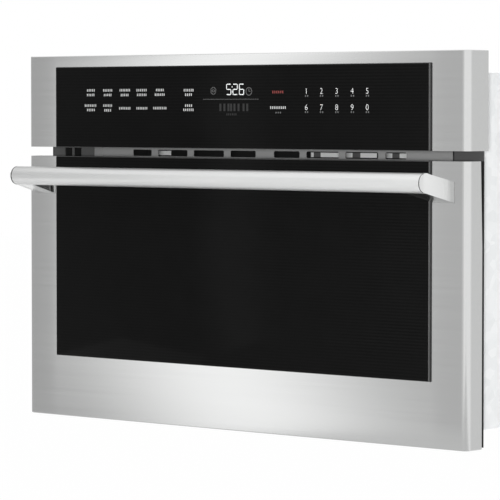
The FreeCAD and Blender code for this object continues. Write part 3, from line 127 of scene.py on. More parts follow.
def new_pattern(name):
    """A node group that takes a vector and puts out a grain and a blotch."""
    group = bpy.data.node_groups.new(name, "ShaderNodeTree")
    group.interface.new_socket("Vector", in_out="INPUT", socket_type="NodeSocketVector")
    for label in ("Grain", "Blotch"):
        group.interface.new_socket(label, in_out="OUTPUT", socket_type="NodeSocketFloat")
    return group, group.nodes.new("NodeGroupInput").outputs["Vector"]


def put_out(group, grain, blotch):
    end = group.nodes.new("NodeGroupOutput")
    group.links.new(grain, end.inputs["Grain"])
    group.links.new(blotch, end.inputs["Blotch"])
    return group


def noise(tree, vector, scale, detail, roughness):
    node = tree.nodes.new("ShaderNodeTexNoise")
    node.inputs["Scale"].default_value = scale
    node.inputs["Detail"].default_value = detail
    node.inputs["Roughness"].default_value = roughness
    tree.links.new(vector, node.inputs["Vector"])
    return node.outputs["Fac"]


def blend(tree, first, second, share):
    """One value mixed with another, with the second's share fixed."""
    node = tree.nodes.new("ShaderNodeMix")
    node.inputs["Factor"].default_value = share
    tree.links.new(first, node.inputs["A"])
    tree.links.new(second, node.inputs["B"])
    return node.outputs["Result"]


def maths(tree, operation, first, second):
    node = tree.nodes.new("ShaderNodeMath")
    node.operation = operation
    for socket, value in zip(node.inputs, (first, second)):
        if isinstance(value, (int, float)):
            socket.default_value = value
        else:
            tree.links.new(value, socket)
    return node.outputs["Value"]


def vector_maths(tree, operation, vector, constant=None):
    node = tree.nodes.new("ShaderNodeVectorMath")
    node.operation = operation
    tree.links.new(vector, node.inputs[0])
    if constant:
        node.inputs[1].default_value = constant
    return node


def grain_pattern():
    """Brushed or moulded grain: a fine noise over a broad one, drawn out by its mapping."""
    group, vector = new_pattern("surface_grain")
    fine = noise(group, vector, scale=1.0, detail=4.0, roughness=0.65)
    broad = noise(group, vector, scale=0.11, detail=2.0, roughness=0.5)
    return put_out(group, blend(group, fine, broad, share=0.3), broad)


def line_pattern():
    """Fine level lines, as printed behind a pane, with a faint cloud over them."""
    group, vector = new_pattern("level_lines")
    wave = group.nodes.new("ShaderNodeTexWave")
    wave.bands_direction = "Z"
    wave.inputs["Scale"].default_value = LINE_WAVE
    group.links.new(vector, wave.inputs["Vector"])
    cloud = noise(group, vector, scale=30.0, detail=3.0, roughness=0.5)
    return put_out(group, blend(group, wave.outputs["Fac"], cloud, share=0.35), cloud)


def spangle_pattern():
    """Crystal spangle of zinc-coated sheet, with a fine grain in each crystal."""
    group, vector = new_pattern("zinc_spangle")
    cells = group.nodes.new("ShaderNodeTexVoronoi")
    cells.inputs["Scale"].default_value = 1.0
    group.links.new(vector, cells.inputs["Vector"])
    shade = group.nodes.new("ShaderNodeSeparateColor")
    group.links.new(cells.outputs["Color"], shade.inputs["Color"])
    fine = noise(group, vector, scale=9.0, detail=3.0, roughness=0.6)
    grain = blend(group, shade.outputs["Red"], fine, share=0.45)
    return put_out(group, grain, shade.outputs["Green"])


def hole_pattern():
    """Round holes in a square grid, with a pitch of one unit: 1 in a hole and 0 on the metal."""
    group, vector = new_pattern("punched_holes")
    cell = vector_maths(group, "FRACTION", vector)
    centred = vector_maths(group, "SUBTRACT", cell.outputs["Vector"], (0.5, 0.0, 0.5))
    flat = vector_maths(group, "MULTIPLY", centred.outputs["Vector"], (1.0, 0.0, 1.0))
    reach = vector_maths(group, "LENGTH", flat.outputs["Vector"])
    holes = maths(group, "LESS_THAN", reach.outputs["Value"], HOLE_RADIUS)
    return put_out(group, holes, noise(group, vector, scale=0.4, detail=2.0, roughness=0.5))


GRAIN = grain_pattern()
LINES = line_pattern()
SPANGLE = spangle_pattern()
HOLES = hole_pattern()


# Finishes: grains per metre along X, Y and Z, then heights of the bumps, then shared tones
WHOLE = (1, 1, 1)
ALONG_X = (4, 1500, 1500)
FINE = (700, 700, 700)
MEDIUM = (220, 220, 220)
BRUSHED = 0.004 * MM
ROLLED = 0.01 * MM
PAINTED = 0.02 * MM
MOULDED = 0.03 * MM
WOUND = 0.05 * MM
INK_ROUGHNESS = (0.35, 0.45)
GREY_TINT = (0.993, 1.0, 0.996)
LIT_DARK = 0.8


def new_material(name):
    mat = bpy.data.materials.new(name)
    mat.use_nodes = True
    return mat, mat.node_tree


def finish(name, dark, light, rough, scale, metallic=0.0, height=0.0, group=GRAIN, specular=0.5):
    """A material whose colour and roughness run between two values by a pattern.

    The pattern also makes a bump of the height that is given.
    """
    mat, tree = new_material(name)
    shader = tree.nodes["Principled BSDF"]
    place = tree.nodes.new("ShaderNodeTexCoord")
    mapping = tree.nodes.new("ShaderNodeMapping")
    mapping.inputs["Scale"].default_value = scale
    pattern = tree.nodes.new("ShaderNodeGroup")
    pattern.node_tree = group
    tree.links.new(place.outputs["Object"], mapping.inputs["Vector"])
    tree.links.new(mapping.outputs["Vector"], pattern.inputs["Vector"])

    colour = tree.nodes.new("ShaderNodeMix")
    colour.data_type = "RGBA"
    colour.inputs["A"].default_value = (*dark, 1.0)
    colour.inputs["B"].default_value = (*light, 1.0)
    tree.links.new(pattern.outputs["Grain"], colour.inputs["Factor"])
    tree.links.new(colour.outputs["Result"], shader.inputs["Base Color"])

    polish = tree.nodes.new("ShaderNodeMapRange")
    polish.inputs["To Min"].default_value = rough[0]
    polish.inputs["To Max"].default_value = rough[1]
    tree.links.new(pattern.outputs["Blotch"], polish.inputs["Value"])
    tree.links.new(polish.outputs["Result"], shader.inputs["Roughness"])

    if height:
        bump = tree.nodes.new("ShaderNodeBump")
        bump.inputs["Distance"].default_value = height
        bump.inputs["Strength"].default_value = 1.0
        tree.links.new(pattern.outputs["Grain"], bump.inputs["Height"])
        tree.links.new(bump.outputs["Normal"], shader.inputs["Normal"])
    shader.inputs["Metallic"].default_value = metallic
    shader.inputs["Specular IOR Level"].default_value = specular
    return mat


def grey(value):
    """A grey with a trace of green."""
    return tuple(value * share for share in GREY_TINT)


def clear_glass():
    mat = finish("clear_glass", grey(0.86), grey(0.93), (0.02, 0.06), (60, 60, 60))
    shader = mat.node_tree.nodes["Principled BSDF"]
    shader.inputs["Transmission Weight"].default_value = 1.0
    shader.inputs["IOR"].default_value = 1.45
    return mat


def lit(name, colour, strength):
    """A mark that glows behind the glass."""
    dark = tuple(LIT_DARK * c for c in colour)
    mat = finish(name, dark, colour, (0.3, 0.4), (900, 900, 900))
    shader = mat.node_tree.nodes["Principled BSDF"]
    shader.inputs["Emission Color"].default_value = (*colour, 1.0)
    shader.inputs["Emission Strength"].default_value = strength
    return mat


def ink(name, dark, light):
    return finish(name, dark, light, INK_ROUGHNESS, FINE)


FINISHES = {"clear_glass": clear_glass()}


def slot_finish(name, *values, **more):
    """Make the finish of a material slot."""
    FINISHES[name] = finish(name, *values, **more)


slot_finish("stainless", grey(0.66), grey(0.76), (0.11, 0.16), ALONG_X, 1.0, BRUSHED)
slot_finish("handle_steel", grey(0.68), grey(0.75), (0.3, 0.38), ALONG_X, 0.6, BRUSHED)
slot_finish("collar_steel", grey(0.67), grey(0.74), (0.2, 0.28), ALONG_X, 1.0, BRUSHED)
slot_finish("cavity_steel", grey(0.5), grey(0.6), (0.22, 0.3), (260, 260, 9), 1.0, BRUSHED)
slot_finish("vent_metal", grey(0.26), grey(0.32), (0.42, 0.5), FINE, 0.1, ROLLED)
slot_finish("motor_steel", grey(0.3), grey(0.42), (0.3, 0.45), MEDIUM, 1.0)
slot_finish("can_metal", grey(0.62), grey(0.7), (0.25, 0.35), (300, 300, 6), 1.0)
slot_finish("galvanised", (0.78, 0.795, 0.8), (0.9, 0.91, 0.915), (0.3, 0.45), (75, 75, 75), 0.25,
            group=SPANGLE)
slot_finish("zinc_hardware", (0.5, 0.5, 0.47), (0.66, 0.65, 0.6), (0.25, 0.38), MEDIUM, 1.0)
slot_finish("copper", (0.55, 0.24, 0.12), (0.76, 0.36, 0.19), (0.22, 0.36), (20, 20, 900), 1.0,
            WOUND)
slot_finish("heater_sheath", (0.13, 0.11, 0.1), (0.22, 0.18, 0.16), (0.45, 0.65), FINE, 0.7)
slot_finish("frame_paint", grey(0.064), grey(0.084), (0.42, 0.55), FINE, height=PAINTED)
slot_finish("black_plastic", grey(0.011), grey(0.019), (0.4, 0.55), FINE, height=MOULDED,
            specular=0.3)
slot_finish("pale_plastic", (0.62, 0.61, 0.57), (0.72, 0.71, 0.67), (0.38, 0.5), FINE,
            height=PAINTED)
slot_finish("mica", (0.46, 0.36, 0.25), (0.66, 0.57, 0.44), (0.3, 0.55), (90, 90, 90),
            height=PAINTED)
slot_finish("circuit_board", (0.012, 0.07, 0.03), (0.03, 0.13, 0.06), (0.3, 0.45), (160, 160, 160))
slot_finish("display_black", grey(0.008), grey(0.014), (0.2, 0.3), FINE)
slot_finish("dark_glass", grey(0.0036), grey(0.0072), (0.05, 0.09), WHOLE, group=LINES,
            specular=0.025)

GLASS_EDGE = finish("glass_edge", grey(0.06), grey(0.1), (0.18, 0.3), (40, 900, 40))
POST_STEEL = finish("post_steel", grey(0.88), grey(0.95), (0.16, 0.2), FINE, 0.92)
# Painted light and painted half shade for the strips in the exhaust duct
PAINTED_LIGHT_STRIP = finish("painted_light_strip", grey(0.88), grey(1.0), (0.3, 0.45), MEDIUM, 0.1)
PAINTED_HALF_SHADE_STRIP = finish("painted_half_shade_strip", grey(0.1), grey(0.14), (0.42, 0.5), MEDIUM, 0.1)
SCREEN = finish("punched_screen", grey(0.42), grey(0.012), (0.28, 0.36), (480, 480, 480),
                group=HOLES)
BRIGHT_INK = ink("bright_ink", grey(0.6), grey(0.74))
PALE_INK = ink("pale_ink", grey(0.42), grey(0.54))
DIM_INK = ink("dim_ink", grey(0.085), grey(0.12))
FAINT_INK = ink("faint_ink", grey(0.009), grey(0.013))
RED_INK = ink("red_ink", (0.16, 0.025, 0.022), (0.24, 0.042, 0.036))
CLOCK_LIGHT = lit("clock_light", (0.78, 0.8, 0.8), 0.2)

# CAD nodes take the finish of their slot, or one of their own
NODE_COATS = {
    "window_screen": SCREEN,
    "latch_brackets": FINISHES["black_plastic"],
    "exhaust_duct": FINISHES["vent_metal"],
}
for part in frame["record"]["subparts"]:
    node = frame["nodes"][part["node"]]
    node.data.materials.clear()
    node.data.materials.append(NODE_COATS.get(part["node"], FINISHES[part["material_slot"]]))


# Tools for new pieces

def add_block(bm, low, high):
    """A block between two corners."""
    low, high = Vector(low), Vector(high)
    place = Matrix.Translation((low + high) / 2) @ Matrix.Diagonal((*(high - low), 1.0))
    return bmesh.ops.create_cube(bm, size=1.0, matrix=place)["verts"]


def block(low, high):
    bm = bmesh.new()
    add_block(bm, low, high)
    return bm


def add_rod(bm, middle, turn, radius, length, segments):
    """A round rod with closed ends."""
    bmesh.ops.create_cone(
        bm, cap_ends=True, segments=segments, radius1=radius, radius2=radius, depth=length,
        matrix=Matrix.Translation(middle) @ turn,
    )


def soften(bm, edges, width, segments):
    bmesh.ops.bevel(
        bm, geom=edges, offset=width, segments=segments, profile=0.5, affect="EDGES", material=-1,
    )


def cut(bm, faces, point, normal, **more):
    """Cut faces along a plane."""
    edges = dict.fromkeys(edge for face in faces for edge in face.edges)
    verts = dict.fromkeys(vert for face in faces for vert in face.verts)
    bmesh.ops.bisect_plane(
        bm, geom=[*faces, *edges, *verts], plane_co=point, plane_no=normal, **more,
    )


def level_x(edge):
    """True if an edge stays at one X."""
    return abs(edge.verts[0].co.x - edge.verts[1].co.x) < TINY


def mirrored_span(side, inner, outer):
    """Where a span of X starts and ends on one side of the middle."""
    return sorted((side * inner, side * outer))


def show(name, bm, slot, body, nodes=(), coats=None):
    """Put a finished bmesh in the scene as a piece that rides on a body."""
    mesh = bpy.data.meshes.new(name)
    bm.to_mesh(mesh)
    bm.free()
    mesh.polygons.foreach_set("use_smooth", [True] * len(mesh.polygons))
    mesh.set_sharp_from_angle(angle=SMOOTH_ANGLE)
    for coat in coats or [FINISHES[slot]]:
        mesh.materials.append(coat)
    obj = bpy.data.objects.new(name, mesh)
    bpy.context.scene.collection.objects.link(obj)
    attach(obj, body)
    if nodes:
        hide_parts(*nodes)
    return obj


def unmirrored(piece):
    """Keep a piece out of the sharp mirror image that brushed steel would blur away."""
    piece.visible_glossy = False


# Steel front and glass

def steel_shell(low, high, window, closed_z, open_z, sill_relief=0.0, taper=0.0):
    """A folded steel front with round upright edges and one folded end.

    The window runs out at the other end. The relief shortens the fold, and the taper shortens the
    side returns towards the open end.
    """
    way_out = 1 if open_z > closed_z else -1
    bm = block(low, high)
    front_edges = [e for e in bm.edges if all(v.co.y < low.y + TINY for v in e.verts)]
    soften(bm, [e for e in front_edges if level_x(e)], EDGE_RADIUS, EDGE_SEGMENTS)
    closed_edges = [e for e in bm.edges if all(abs(v.co.z - closed_z) < TINY for v in e.verts)]
    fold = [e for e in closed_edges if not all(v.co.y > high.y - TINY for v in e.verts)]
    soften(bm, fold, FOLD_RADIUS, FOLD_SEGMENTS)
    bm.normal_update()
    spare = [f for f in bm.faces if f.normal.y > FLAT or f.normal.z * way_out > FLAT]
    bmesh.ops.delete(bm, geom=spare, context="FACES")

    half, sill = window
    window_edges = (
        ((-half, 0, 0), (1, 0, 0)), ((half, 0, 0), (1, 0, 0)), ((0, 0, sill), (0, 0, 1)),
    )
    for point, normal in window_edges:
        cut(bm, [f for f in bm.faces if f.normal.y < -FLAT], point, normal)
    inside = []
    for face in bm.faces:
        middle = face.calc_center_median()
        in_window = abs(middle.x) < half and (middle.z - sill) * way_out > 0
        if face.normal.y < -FLAT and in_window:
            inside.append(face)
    bmesh.ops.delete(bm, geom=inside, context="FACES")

    if sill_relief:
        sill_y = high.y - sill_relief
        cut(bm, [f for f in bm.faces if f.normal.z * way_out < -FLAT], (0, sill_y, 0), (0, 1, 0))
        folded = [f for f in bm.faces if f.normal.z * way_out < -FLAT]
        behind = [f for f in folded if f.calc_center_median().y > sill_y]
        bmesh.ops.delete(bm, geom=behind, context="FACES")
    if taper:
        start = (0, high.y, open_z - way_out * TAPER_RUN)
        cut(bm, bm.faces[:], start, (0, TAPER_RUN / taper, way_out), clear_outer=True)
    bmesh.ops.solidify(bm, geom=bm.faces[:], thickness=SHEET)
    return bm


def door_steel():
    window = (PANE_HIGH.x + GLASS_GAP, PANE_LOW.z - GLASS_GAP)
    bm = steel_shell(SKIN_LOW, SKIN_HIGH, window, SKIN_LOW.z, SKIN_HIGH.z, SILL_RELIEF, TAPER)
    show("door_steel", bm, "stainless", "door", ["door_skin"])


def panel_steel():
    window = (PANEL_HIGH.x + GLASS_GAP, PANEL_HIGH.z + GLASS_GAP)
    bm = steel_shell(BEZEL_LOW, BEZEL_HIGH, window, BEZEL_HIGH.z, BEZEL_LOW.z)
    show("panel_steel", bm, "stainless", "housing", ["bezel_frame"])


def pane(name, low, high, body, node):
    """A glass pane with ground arrises and paler polished edges, between two black seals."""
    coats = [FINISHES["dark_glass"], GLASS_EDGE, FINISHES["black_plastic"]]
    face_coat, edge_coat, seal_coat = range(len(coats))
    bm = block((low.x + SEAL_WIDTH, low.y, low.z), (high.x - SEAL_WIDTH, high.y, high.z))
    soften(bm, bm.edges[:], GLASS_ARRIS, ARRIS_SEGMENTS)
    bm.normal_update()
    for face in bm.faces:
        face.material_index = face_coat if abs(face.normal.y) > FLAT else edge_coat
    seal_y = SKIN_LOW.y + SEAL_DROP
    for x in (low.x, high.x - SEAL_WIDTH):
        verts = add_block(bm, (x, seal_y, low.z), (x + SEAL_WIDTH, high.y, high.z))
        for face in {face for vert in verts for face in vert.link_faces}:
            face.material_index = seal_coat
    show(name, bm, "dark_glass", body, [node], coats)


# Handle

def add_bar(bm, x_low, x_high, radius):
    """A round bar along the handle's axis."""
    middle = ((x_low + x_high) / 2, BAR_Y, BAR_Z)
    turn = Matrix.Rotation(QUARTER_TURN, 4, "Y")
    add_rod(bm, middle, turn, radius, x_high - x_low, BAR_SEGMENTS)


def handle_tube():
    tube, seams = bmesh.new(), bmesh.new()
    end = BAR_END - CAP_WIDTH - SEAM_WIDTH
    add_bar(tube, -end, end, BAR_RADIUS)
    soften(tube, [e for e in tube.edges if level_x(e)], BAR_ARRIS, ARRIS_SEGMENTS)
    unmirrored(show("handle_tube", tube, "handle_steel", "door", ["handle_bar"]))
    for side, _ in SIDES:
        add_bar(seams, *mirrored_span(side, end, end + SEAM_WIDTH), BAR_RADIUS - SEAM_DEPTH)
    unmirrored(show("handle_seams", seams, "black_plastic", "door", ["handle_bar"]))


def slab(bm, outline, width, arris):
    """A plate across X from an outline of its side, with eased edges."""
    face = bm.faces.new(outline)
    grown = bmesh.ops.extrude_face_region(bm, geom=[face])["geom"]
    far_side = [v for v in grown if isinstance(v, bmesh.types.BMVert)]
    bmesh.ops.translate(bm, vec=(width, 0, 0), verts=far_side)
    bmesh.ops.recalc_face_normals(bm, faces=bm.faces)
    soften(bm, [e for e in bm.edges if level_x(e)], arris, SLAB_SEGMENTS)


def lean_out(bm, side):
    """Lean what lies behind the bar outwards, so that the post stands wider at its foot."""
    lean = Matrix.Identity(4)
    lean[0][1] = side * (FOOT_END - BAR_END) / (COLLAR_HIGH.y - BAR_Y)
    about_bar = Matrix.Translation((0, BAR_Y, 0)) @ lean @ Matrix.Translation((0, -BAR_Y, 0))
    bmesh.ops.transform(bm, matrix=about_bar, verts=[v for v in bm.verts if v.co.y > BAR_Y])


def foot_rise():
    """How far the slanted post climbs over the foot's depth."""
    return (BAR_Z - FOOT_Z) * FOOT_DEPTH / (COLLAR_HIGH.y - BAR_Y)


def handle_ends():
    """The two end posts.

    A thin cap closes the bar, and a wide polished block leans down and out to the foot.
    """
    low = FOOT_Z + foot_rise() - FOOT_HEIGHT / 2
    inner = BAR_RADIUS - 2 * SEAM_DEPTH
    coats = [POST_STEEL, FINISHES["collar_steel"]]
    for side, end in SIDES:
        x_low = mirrored_span(side, BAR_END - POST_WIDTH, BAR_END)[0]
        centre = (x_low, BAR_Y, BAR_Z)
        bm = bmesh.new()
        bm.verts.new((x_low, BAR_Y, BAR_Z + BAR_RADIUS))
        top = bm.verts.new((x_low, BAR_Y, BAR_Z + inner))
        bmesh.ops.spin(
            bm, geom=[top], cent=centre, axis=(1, 0, 0), angle=math.pi, steps=POST_STEPS,
        )
        outline = list(bm.verts)
        outline.append(bm.verts.new((x_low, BAR_Y, BAR_Z - BAR_RADIUS)))
        for z in (low, low + FOOT_HEIGHT):
            outline.append(bm.verts.new((x_low, FOOT_FRONT, z)))
        slab(bm, outline, POST_WIDTH, POST_ARRIS)
        lean_out(bm, side)
        bm.normal_update()
        # Painted shade: faces that look down take the darker collar steel
        for face in bm.faces:
            face.material_index = 1 if face.normal.z < -SHADED_UNDERSIDE else 0
        add_bar(bm, *mirrored_span(side, BAR_END - CAP_WIDTH, BAR_END + CAP_PROUD), BAR_RADIUS)
        unmirrored(show(f"handle_post_{end}", bm, "handle_steel", "door", ["handle_posts"], coats))


def handle_feet():
    """Under each post a short steel foot, the gasket that seats it and the screw that holds it."""
    low = FOOT_Z - FOOT_HEIGHT / 2
    front_low = low + foot_rise()
    seat = COLLAR_HIGH.y - GASKET
    seat_low = low + foot_rise() * GASKET / FOOT_DEPTH
    corners = (
        (FOOT_FRONT, front_low), (seat, seat_low),
        (seat, seat_low + FOOT_HEIGHT), (FOOT_FRONT, front_low + FOOT_HEIGHT),
    )
    neck = SCREW_HIGH.y - HEAD_HEIGHT
    screw_turn = Matrix.Rotation(QUARTER_TURN, 4, "X")
    gaskets, screws = bmesh.new(), bmesh.new()
    for side, end in SIDES:
        x_low = mirrored_span(side, BAR_END - POST_WIDTH, BAR_END)[0]
        bm = bmesh.new()
        slab(bm, [bm.verts.new((x_low, y, z)) for y, z in corners], POST_WIDTH, FOOT_ARRIS)
        lean_out(bm, side)
        unmirrored(show(f"handle_foot_{end}", bm, "collar_steel", "door", ["handle_collars"]))

        x_low, x_high = mirrored_span(side, FOOT_END - POST_WIDTH, FOOT_END)
        add_block(gaskets, (x_low, seat, low), (x_high, COLLAR_HIGH.y, low + FOOT_HEIGHT))
        shank = (SCREW_LOW.y, neck, SHANK_RADIUS)
        head = (neck, SCREW_HIGH.y, HEAD_RADIUS)
        for y_low, y_high, radius in (shank, head):
            middle = (side * (SCREW_HIGH.x - HEAD_RADIUS), (y_low + y_high) / 2, FOOT_Z)
            add_rod(screws, middle, screw_turn, radius, y_high - y_low, SCREW_SEGMENTS)
    unmirrored(show("handle_gaskets", gaskets, "vent_metal", "door", ["handle_collars"]))
    unmirrored(show("post_screws", screws, "zinc_hardware", "door", ["handle_screws"]))


# Black shrouds on the case walls beside the latch slots
SHROUD_X = (348.8 * MM, 349.2 * MM)
SHROUD_Y = (0.3 * MM, 42 * MM)
SHROUD_Z = (318 * MM, 346 * MM)


def latch_shrouds():
    bm = bmesh.new()
    for side, _ in SIDES:
        x_low, x_high = mirrored_span(side, *SHROUD_X)
        add_block(bm, (x_low, SHROUD_Y[0], SHROUD_Z[0]), (x_high, SHROUD_Y[1], SHROUD_Z[1]))
    show("latch_shrouds", bm, "black_plastic", "housing")


# Painted shade on the flange: black upright lines at the ends of the vent gap, and black strips
# behind the door's returns, where the gaps lie in shadow
SHADE_LINE = 2.1 * MM
SHADE_PROUD = 0.1 * MM
SHADE_STRIP = 6 * MM
VENT_CLEARANCE = 0.3 * MM


def flange_shade_lines():
    low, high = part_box("front_frame")
    vent_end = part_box("vent_grille")[1].x + VENT_CLEARANCE
    front = low.y - SHADE_PROUD
    bm = bmesh.new()
    # Painted shade: black lines at the ends of the vent gap
    for x in (low.x, vent_end):
        add_block(bm, (x, front, SKIN_HIGH.z), (x + SHADE_LINE, low.y, BEZEL_LOW.z))
    # Painted shade: black strips behind the door's returns
    for side, _ in SIDES:
        x_low, x_high = mirrored_span(side, high.x - SHADE_STRIP, high.x + SHADE_PROUD)
        add_block(bm, (x_low, front, low.z), (x_high, high.y - SHADE_PROUD, SKIN_HIGH.z))
    show("flange_shade_lines", bm, "black_plastic", "housing")


# Painted shade and light in the exhaust duct: a black pad on its back and left end paints the shade
# there, and bright and dull strips before it paint the lit and half-shaded zones: where each one
# starts and ends, in millimetres
DUCT_SHEET = 0.8 * MM
SHADE_PAD_DEPTH = 1.2 * MM
SHADE_PAD_MARGIN = 0.5 * MM
SHADE_PAD_SETBACK = 25 * MM
PAINT_STRIP_DEPTH = 0.6 * MM
PAINT_STRIP_Z = (332.2 * MM, 338.3 * MM)
PAINTED_LIGHT_SPANS = (
    (-271, -247.5), (5.5, 10.5), (22.5, 53), (66.5, 77), (90.5, 118), (134, 144), (156, 170),
)
PAINTED_HALF_SHADE_SPANS = ((10.5, 22.5), (77, 90.5), (144, 156))


def duct_light_and_shade():
    duct_low, duct_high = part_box("exhaust_duct")
    margin = Vector((1, 0, 1)) * (DUCT_SHEET + SHADE_PAD_MARGIN)
    low, high = duct_low + margin, duct_high - margin
    back = duct_high.y - DUCT_SHEET
    front = back - SHADE_PAD_DEPTH
    # Painted shade: a black pad over the duct's back and its left end
    shade_pads = bmesh.new()
    add_block(shade_pads, (low.x, front, low.z), (high.x, back, high.z))
    end_y = duct_low.y + SHADE_PAD_SETBACK
    add_block(shade_pads, (low.x, end_y, low.z), (low.x + SHADE_PAD_DEPTH, front, high.z))
    show("duct_painted_shade", shade_pads, "black_plastic", "housing")
    # Painted light and painted half shade: bright and dull strips before the pad
    paint_strip_y = front - PAINT_STRIP_DEPTH
    for name, spans, coat in (
        ("duct_painted_light", PAINTED_LIGHT_SPANS, PAINTED_LIGHT_STRIP),
        ("duct_painted_half_shade", PAINTED_HALF_SHADE_SPANS, PAINTED_HALF_SHADE_STRIP),
    ):
        bm = bmesh.new()
        for start, end in spans:
            add_block(bm, (start * MM, paint_strip_y, PAINT_STRIP_Z[0]), (end * MM, front, PAINT_STRIP_Z[1]))
        show(name, bm, "galvanised", "housing", coats=[coat])


# Marks on the control glass, in millimetres on its face: most as x, z, width and height
MARK_Y = PANEL_LOW.y
MARK_DEPTH = 0.04 * MM
MARK_STROKE = 0.9
RING_STEPS = 32
LETTER_WIDTH = 1.55
LETTER_HEIGHT = 3.3
LETTER_STEP = 3.1
KEY_LINES = (
    (-255.6, 420.5, 15.9), (-224.2, 420.3, 18.2), (-192.5, 420.4, 20.4),
    (-161.8, 420.3, 20.0), (-128.6, 420.4, 15.2), (-77.2, 419.9, 18.5),
    (-255.9, 414.3, 15.2), (-224.2, 414.2, 15.4), (-192.8, 414.1, 15.5),
    (-161.5, 414.2, 18.6), (-128.9, 414.3, 18.9), (-77.5, 414.1, 13.6),
    (-256.3, 400.1, 23.0), (-224.2, 400.1, 17.5), (-77.3, 400.0, 13.9),
    (-192.6, 396.5, 22.1), (-161.3, 396.5, 21.0), (-128.7, 396.7, 24.9),
    (-255.6, 394.2, 15.9), (-224.2, 393.8, 13.9), (-77.6, 394.5, 19.7),
    (77.3, 397.3, 27.7),
)
STOP_LINE = (77.1, 417.0, 20.0, LETTER_HEIGHT)
START_LINE = (77.8, 390.9, 10.8, 2.0)

NUMBER_COLUMNS = (124.8, 149.6, 174.7, 199.9, 224.2)
NUMBER_ROWS = ((418.2, "12345"), (397.9, "67890"))
NUMBER_HEIGHT = 7.6
NUMBER_THINNING = 0.12
CAPITAL_HEIGHT = 0.72
SUB_SHIFT = 0.4
SUB_DROP = 6.3
SUB_WIDTH = 7.0
SUB_HEIGHT = 2.2

TIMER_RING = (27.9, 418.0, 5.4, MARK_STROKE)
TIMER_HANDS = ((27.9, 419.9, MARK_STROKE, 3.8), (29.2, 418.0, 2.6, MARK_STROKE))
ARROW_X = -33.6
ARROW_ROWS = ((424.0, -2.8), (420.8, -2.8), (417.2, 2.8), (414.0, 2.8))
ARROW_HALF = 4.4
ARROW_STEMS = tuple((ARROW_X + shift, 419.0, MARK_STROKE, 4.8) for shift in (-4.2, 4.2))
DIVIDER = (-3.6, 408.1, 96.4, 0.5)
RESTING_COLUMNS = (-21.3, -14.3, -7.3, -2.7, 3.1, 10.1, 18.7, 25.1)
RESTING_BAR = (397.6, 3.4, 9.6)
RESTING_LINE = (-2.1, 388.6, 18.6, 2.6)

CLOCK_TIME = "526"
CLOCK_COLUMNS = (-6.9, 4.3, 15.3)
CLOCK_MIDDLE = 420.7
CLOCK_SIZE = (8.6, 14.4)
CLOCK_STROKE = 1.15
COLON_X = -1.0
COLON_RISE = 3.2
COLON_DOT = (1.3, 1.5)
END_TRIM = 0.6
RUN_TRIM = 0.55
SEGMENTS = {"5": "afgcd", "2": "abged", "6": "afgedc"}


def mark(bm, x, z, width, height):
    """A thin raised bar on the control glass, by its middle and its size."""
    low = ((x - width / 2) * MM, MARK_Y - MARK_DEPTH, (z - height / 2) * MM)
    high = ((x + width / 2) * MM, MARK_Y, (z + height / 2) * MM)
    return add_block(bm, low, high)


def letter_row(bm, x, z, width, height):
    """A line of small blocks that stands where a key is named."""
    count = max(2, round(width / LETTER_STEP))
    step = width / count
    for i in range(count):
        shift = (i - (count - 1) / 2) * step
        mark(bm, x + shift, z, LETTER_WIDTH / LETTER_STEP * step, height)


def segment_digit(bm, digit, x, z):
    """A digit of seven segments."""
    wide, tall = CLOCK_SIZE
    side, half = (wide - CLOCK_STROKE) / 2, (tall - CLOCK_STROKE) / 2
    end_width = 2 * side - CLOCK_STROKE * END_TRIM
    run = half - CLOCK_STROKE * RUN_TRIM
    bars = {
        "a": (0, half, end_width, CLOCK_STROKE),
        "b": (side, half / 2, CLOCK_STROKE, run),
        "c": (side, -half / 2, CLOCK_STROKE, run),
        "d": (0, -half, end_width, CLOCK_STROKE),
        "e": (-side, -half / 2, CLOCK_STROKE, run),
        "f": (-side, half / 2, CLOCK_STROKE, run),
        "g": (0, 0, 2 * side - CLOCK_STROKE, CLOCK_STROKE),
    }
    for key in SEGMENTS[digit]:
        dx, dz, width, height = bars[key]
        mark(bm, x + dx, z + dz, width, height)


def ring(bm, x, z, radius, stroke):
    """A thin flat ring."""
    inner, front = radius - stroke, MARK_Y - MARK_DEPTH
    section = ((inner, front), (radius, front), (radius, MARK_Y), (inner, MARK_Y))
    start = [bm.verts.new(((x + reach) * MM, y, z * MM)) for reach, y in section]
    edges = [bm.edges.new((start[i], start[(i + 1) % 4])) for i in range(4)]
    bmesh.ops.spin(
        bm, geom=start + edges, cent=(x * MM, MARK_Y, z * MM), axis=(0, 1, 0), angle=2 * math.pi,
        steps=RING_STEPS, use_merge=True,
    )


def chevron(bm, x, z, half, rise, stroke):
    """A V of two slanted strokes."""
    middle = Vector((x * MM, MARK_Y, z * MM))
    for side, _ in SIDES:
        verts = mark(bm, x, z, half, stroke)
        slant = Matrix.Rotation(-side * math.atan2(rise, half), 3, "Y")
        bmesh.ops.rotate(bm, cent=middle, matrix=slant, verts=verts)
        bmesh.ops.translate(bm, vec=(side * half / 2 * MM, 0, rise / 2 * MM), verts=verts)


def number(bm, text, x, z, height):
    """A printed number, added to a bmesh as a thin flat mesh."""
    curve = bpy.data.curves.new(f"number_{text}", "FONT")
    curve.body = text
    curve.align_x = "CENTER"
    curve.extrude = MARK_DEPTH / 2
    curve.size = height * MM / CAPITAL_HEIGHT
    curve.offset = -NUMBER_THINNING * MM
    holder = bpy.data.objects.new(f"number_{text}", curve)
    bpy.context.scene.collection.objects.link(holder)
    shaped = holder.evaluated_get(bpy.context.evaluated_depsgraph_get())
    mesh = bpy.data.meshes.new_from_object(shaped)
    bpy.data.objects.remove(holder)
    place = Matrix.Translation((x * MM, MARK_Y - MARK_DEPTH / 2, (z - height / 2) * MM))
    mesh.transform(place @ Matrix.Rotation(QUARTER_TURN, 4, "X"))
    bm.from_mesh(mesh)
    bpy.data.meshes.remove(mesh)


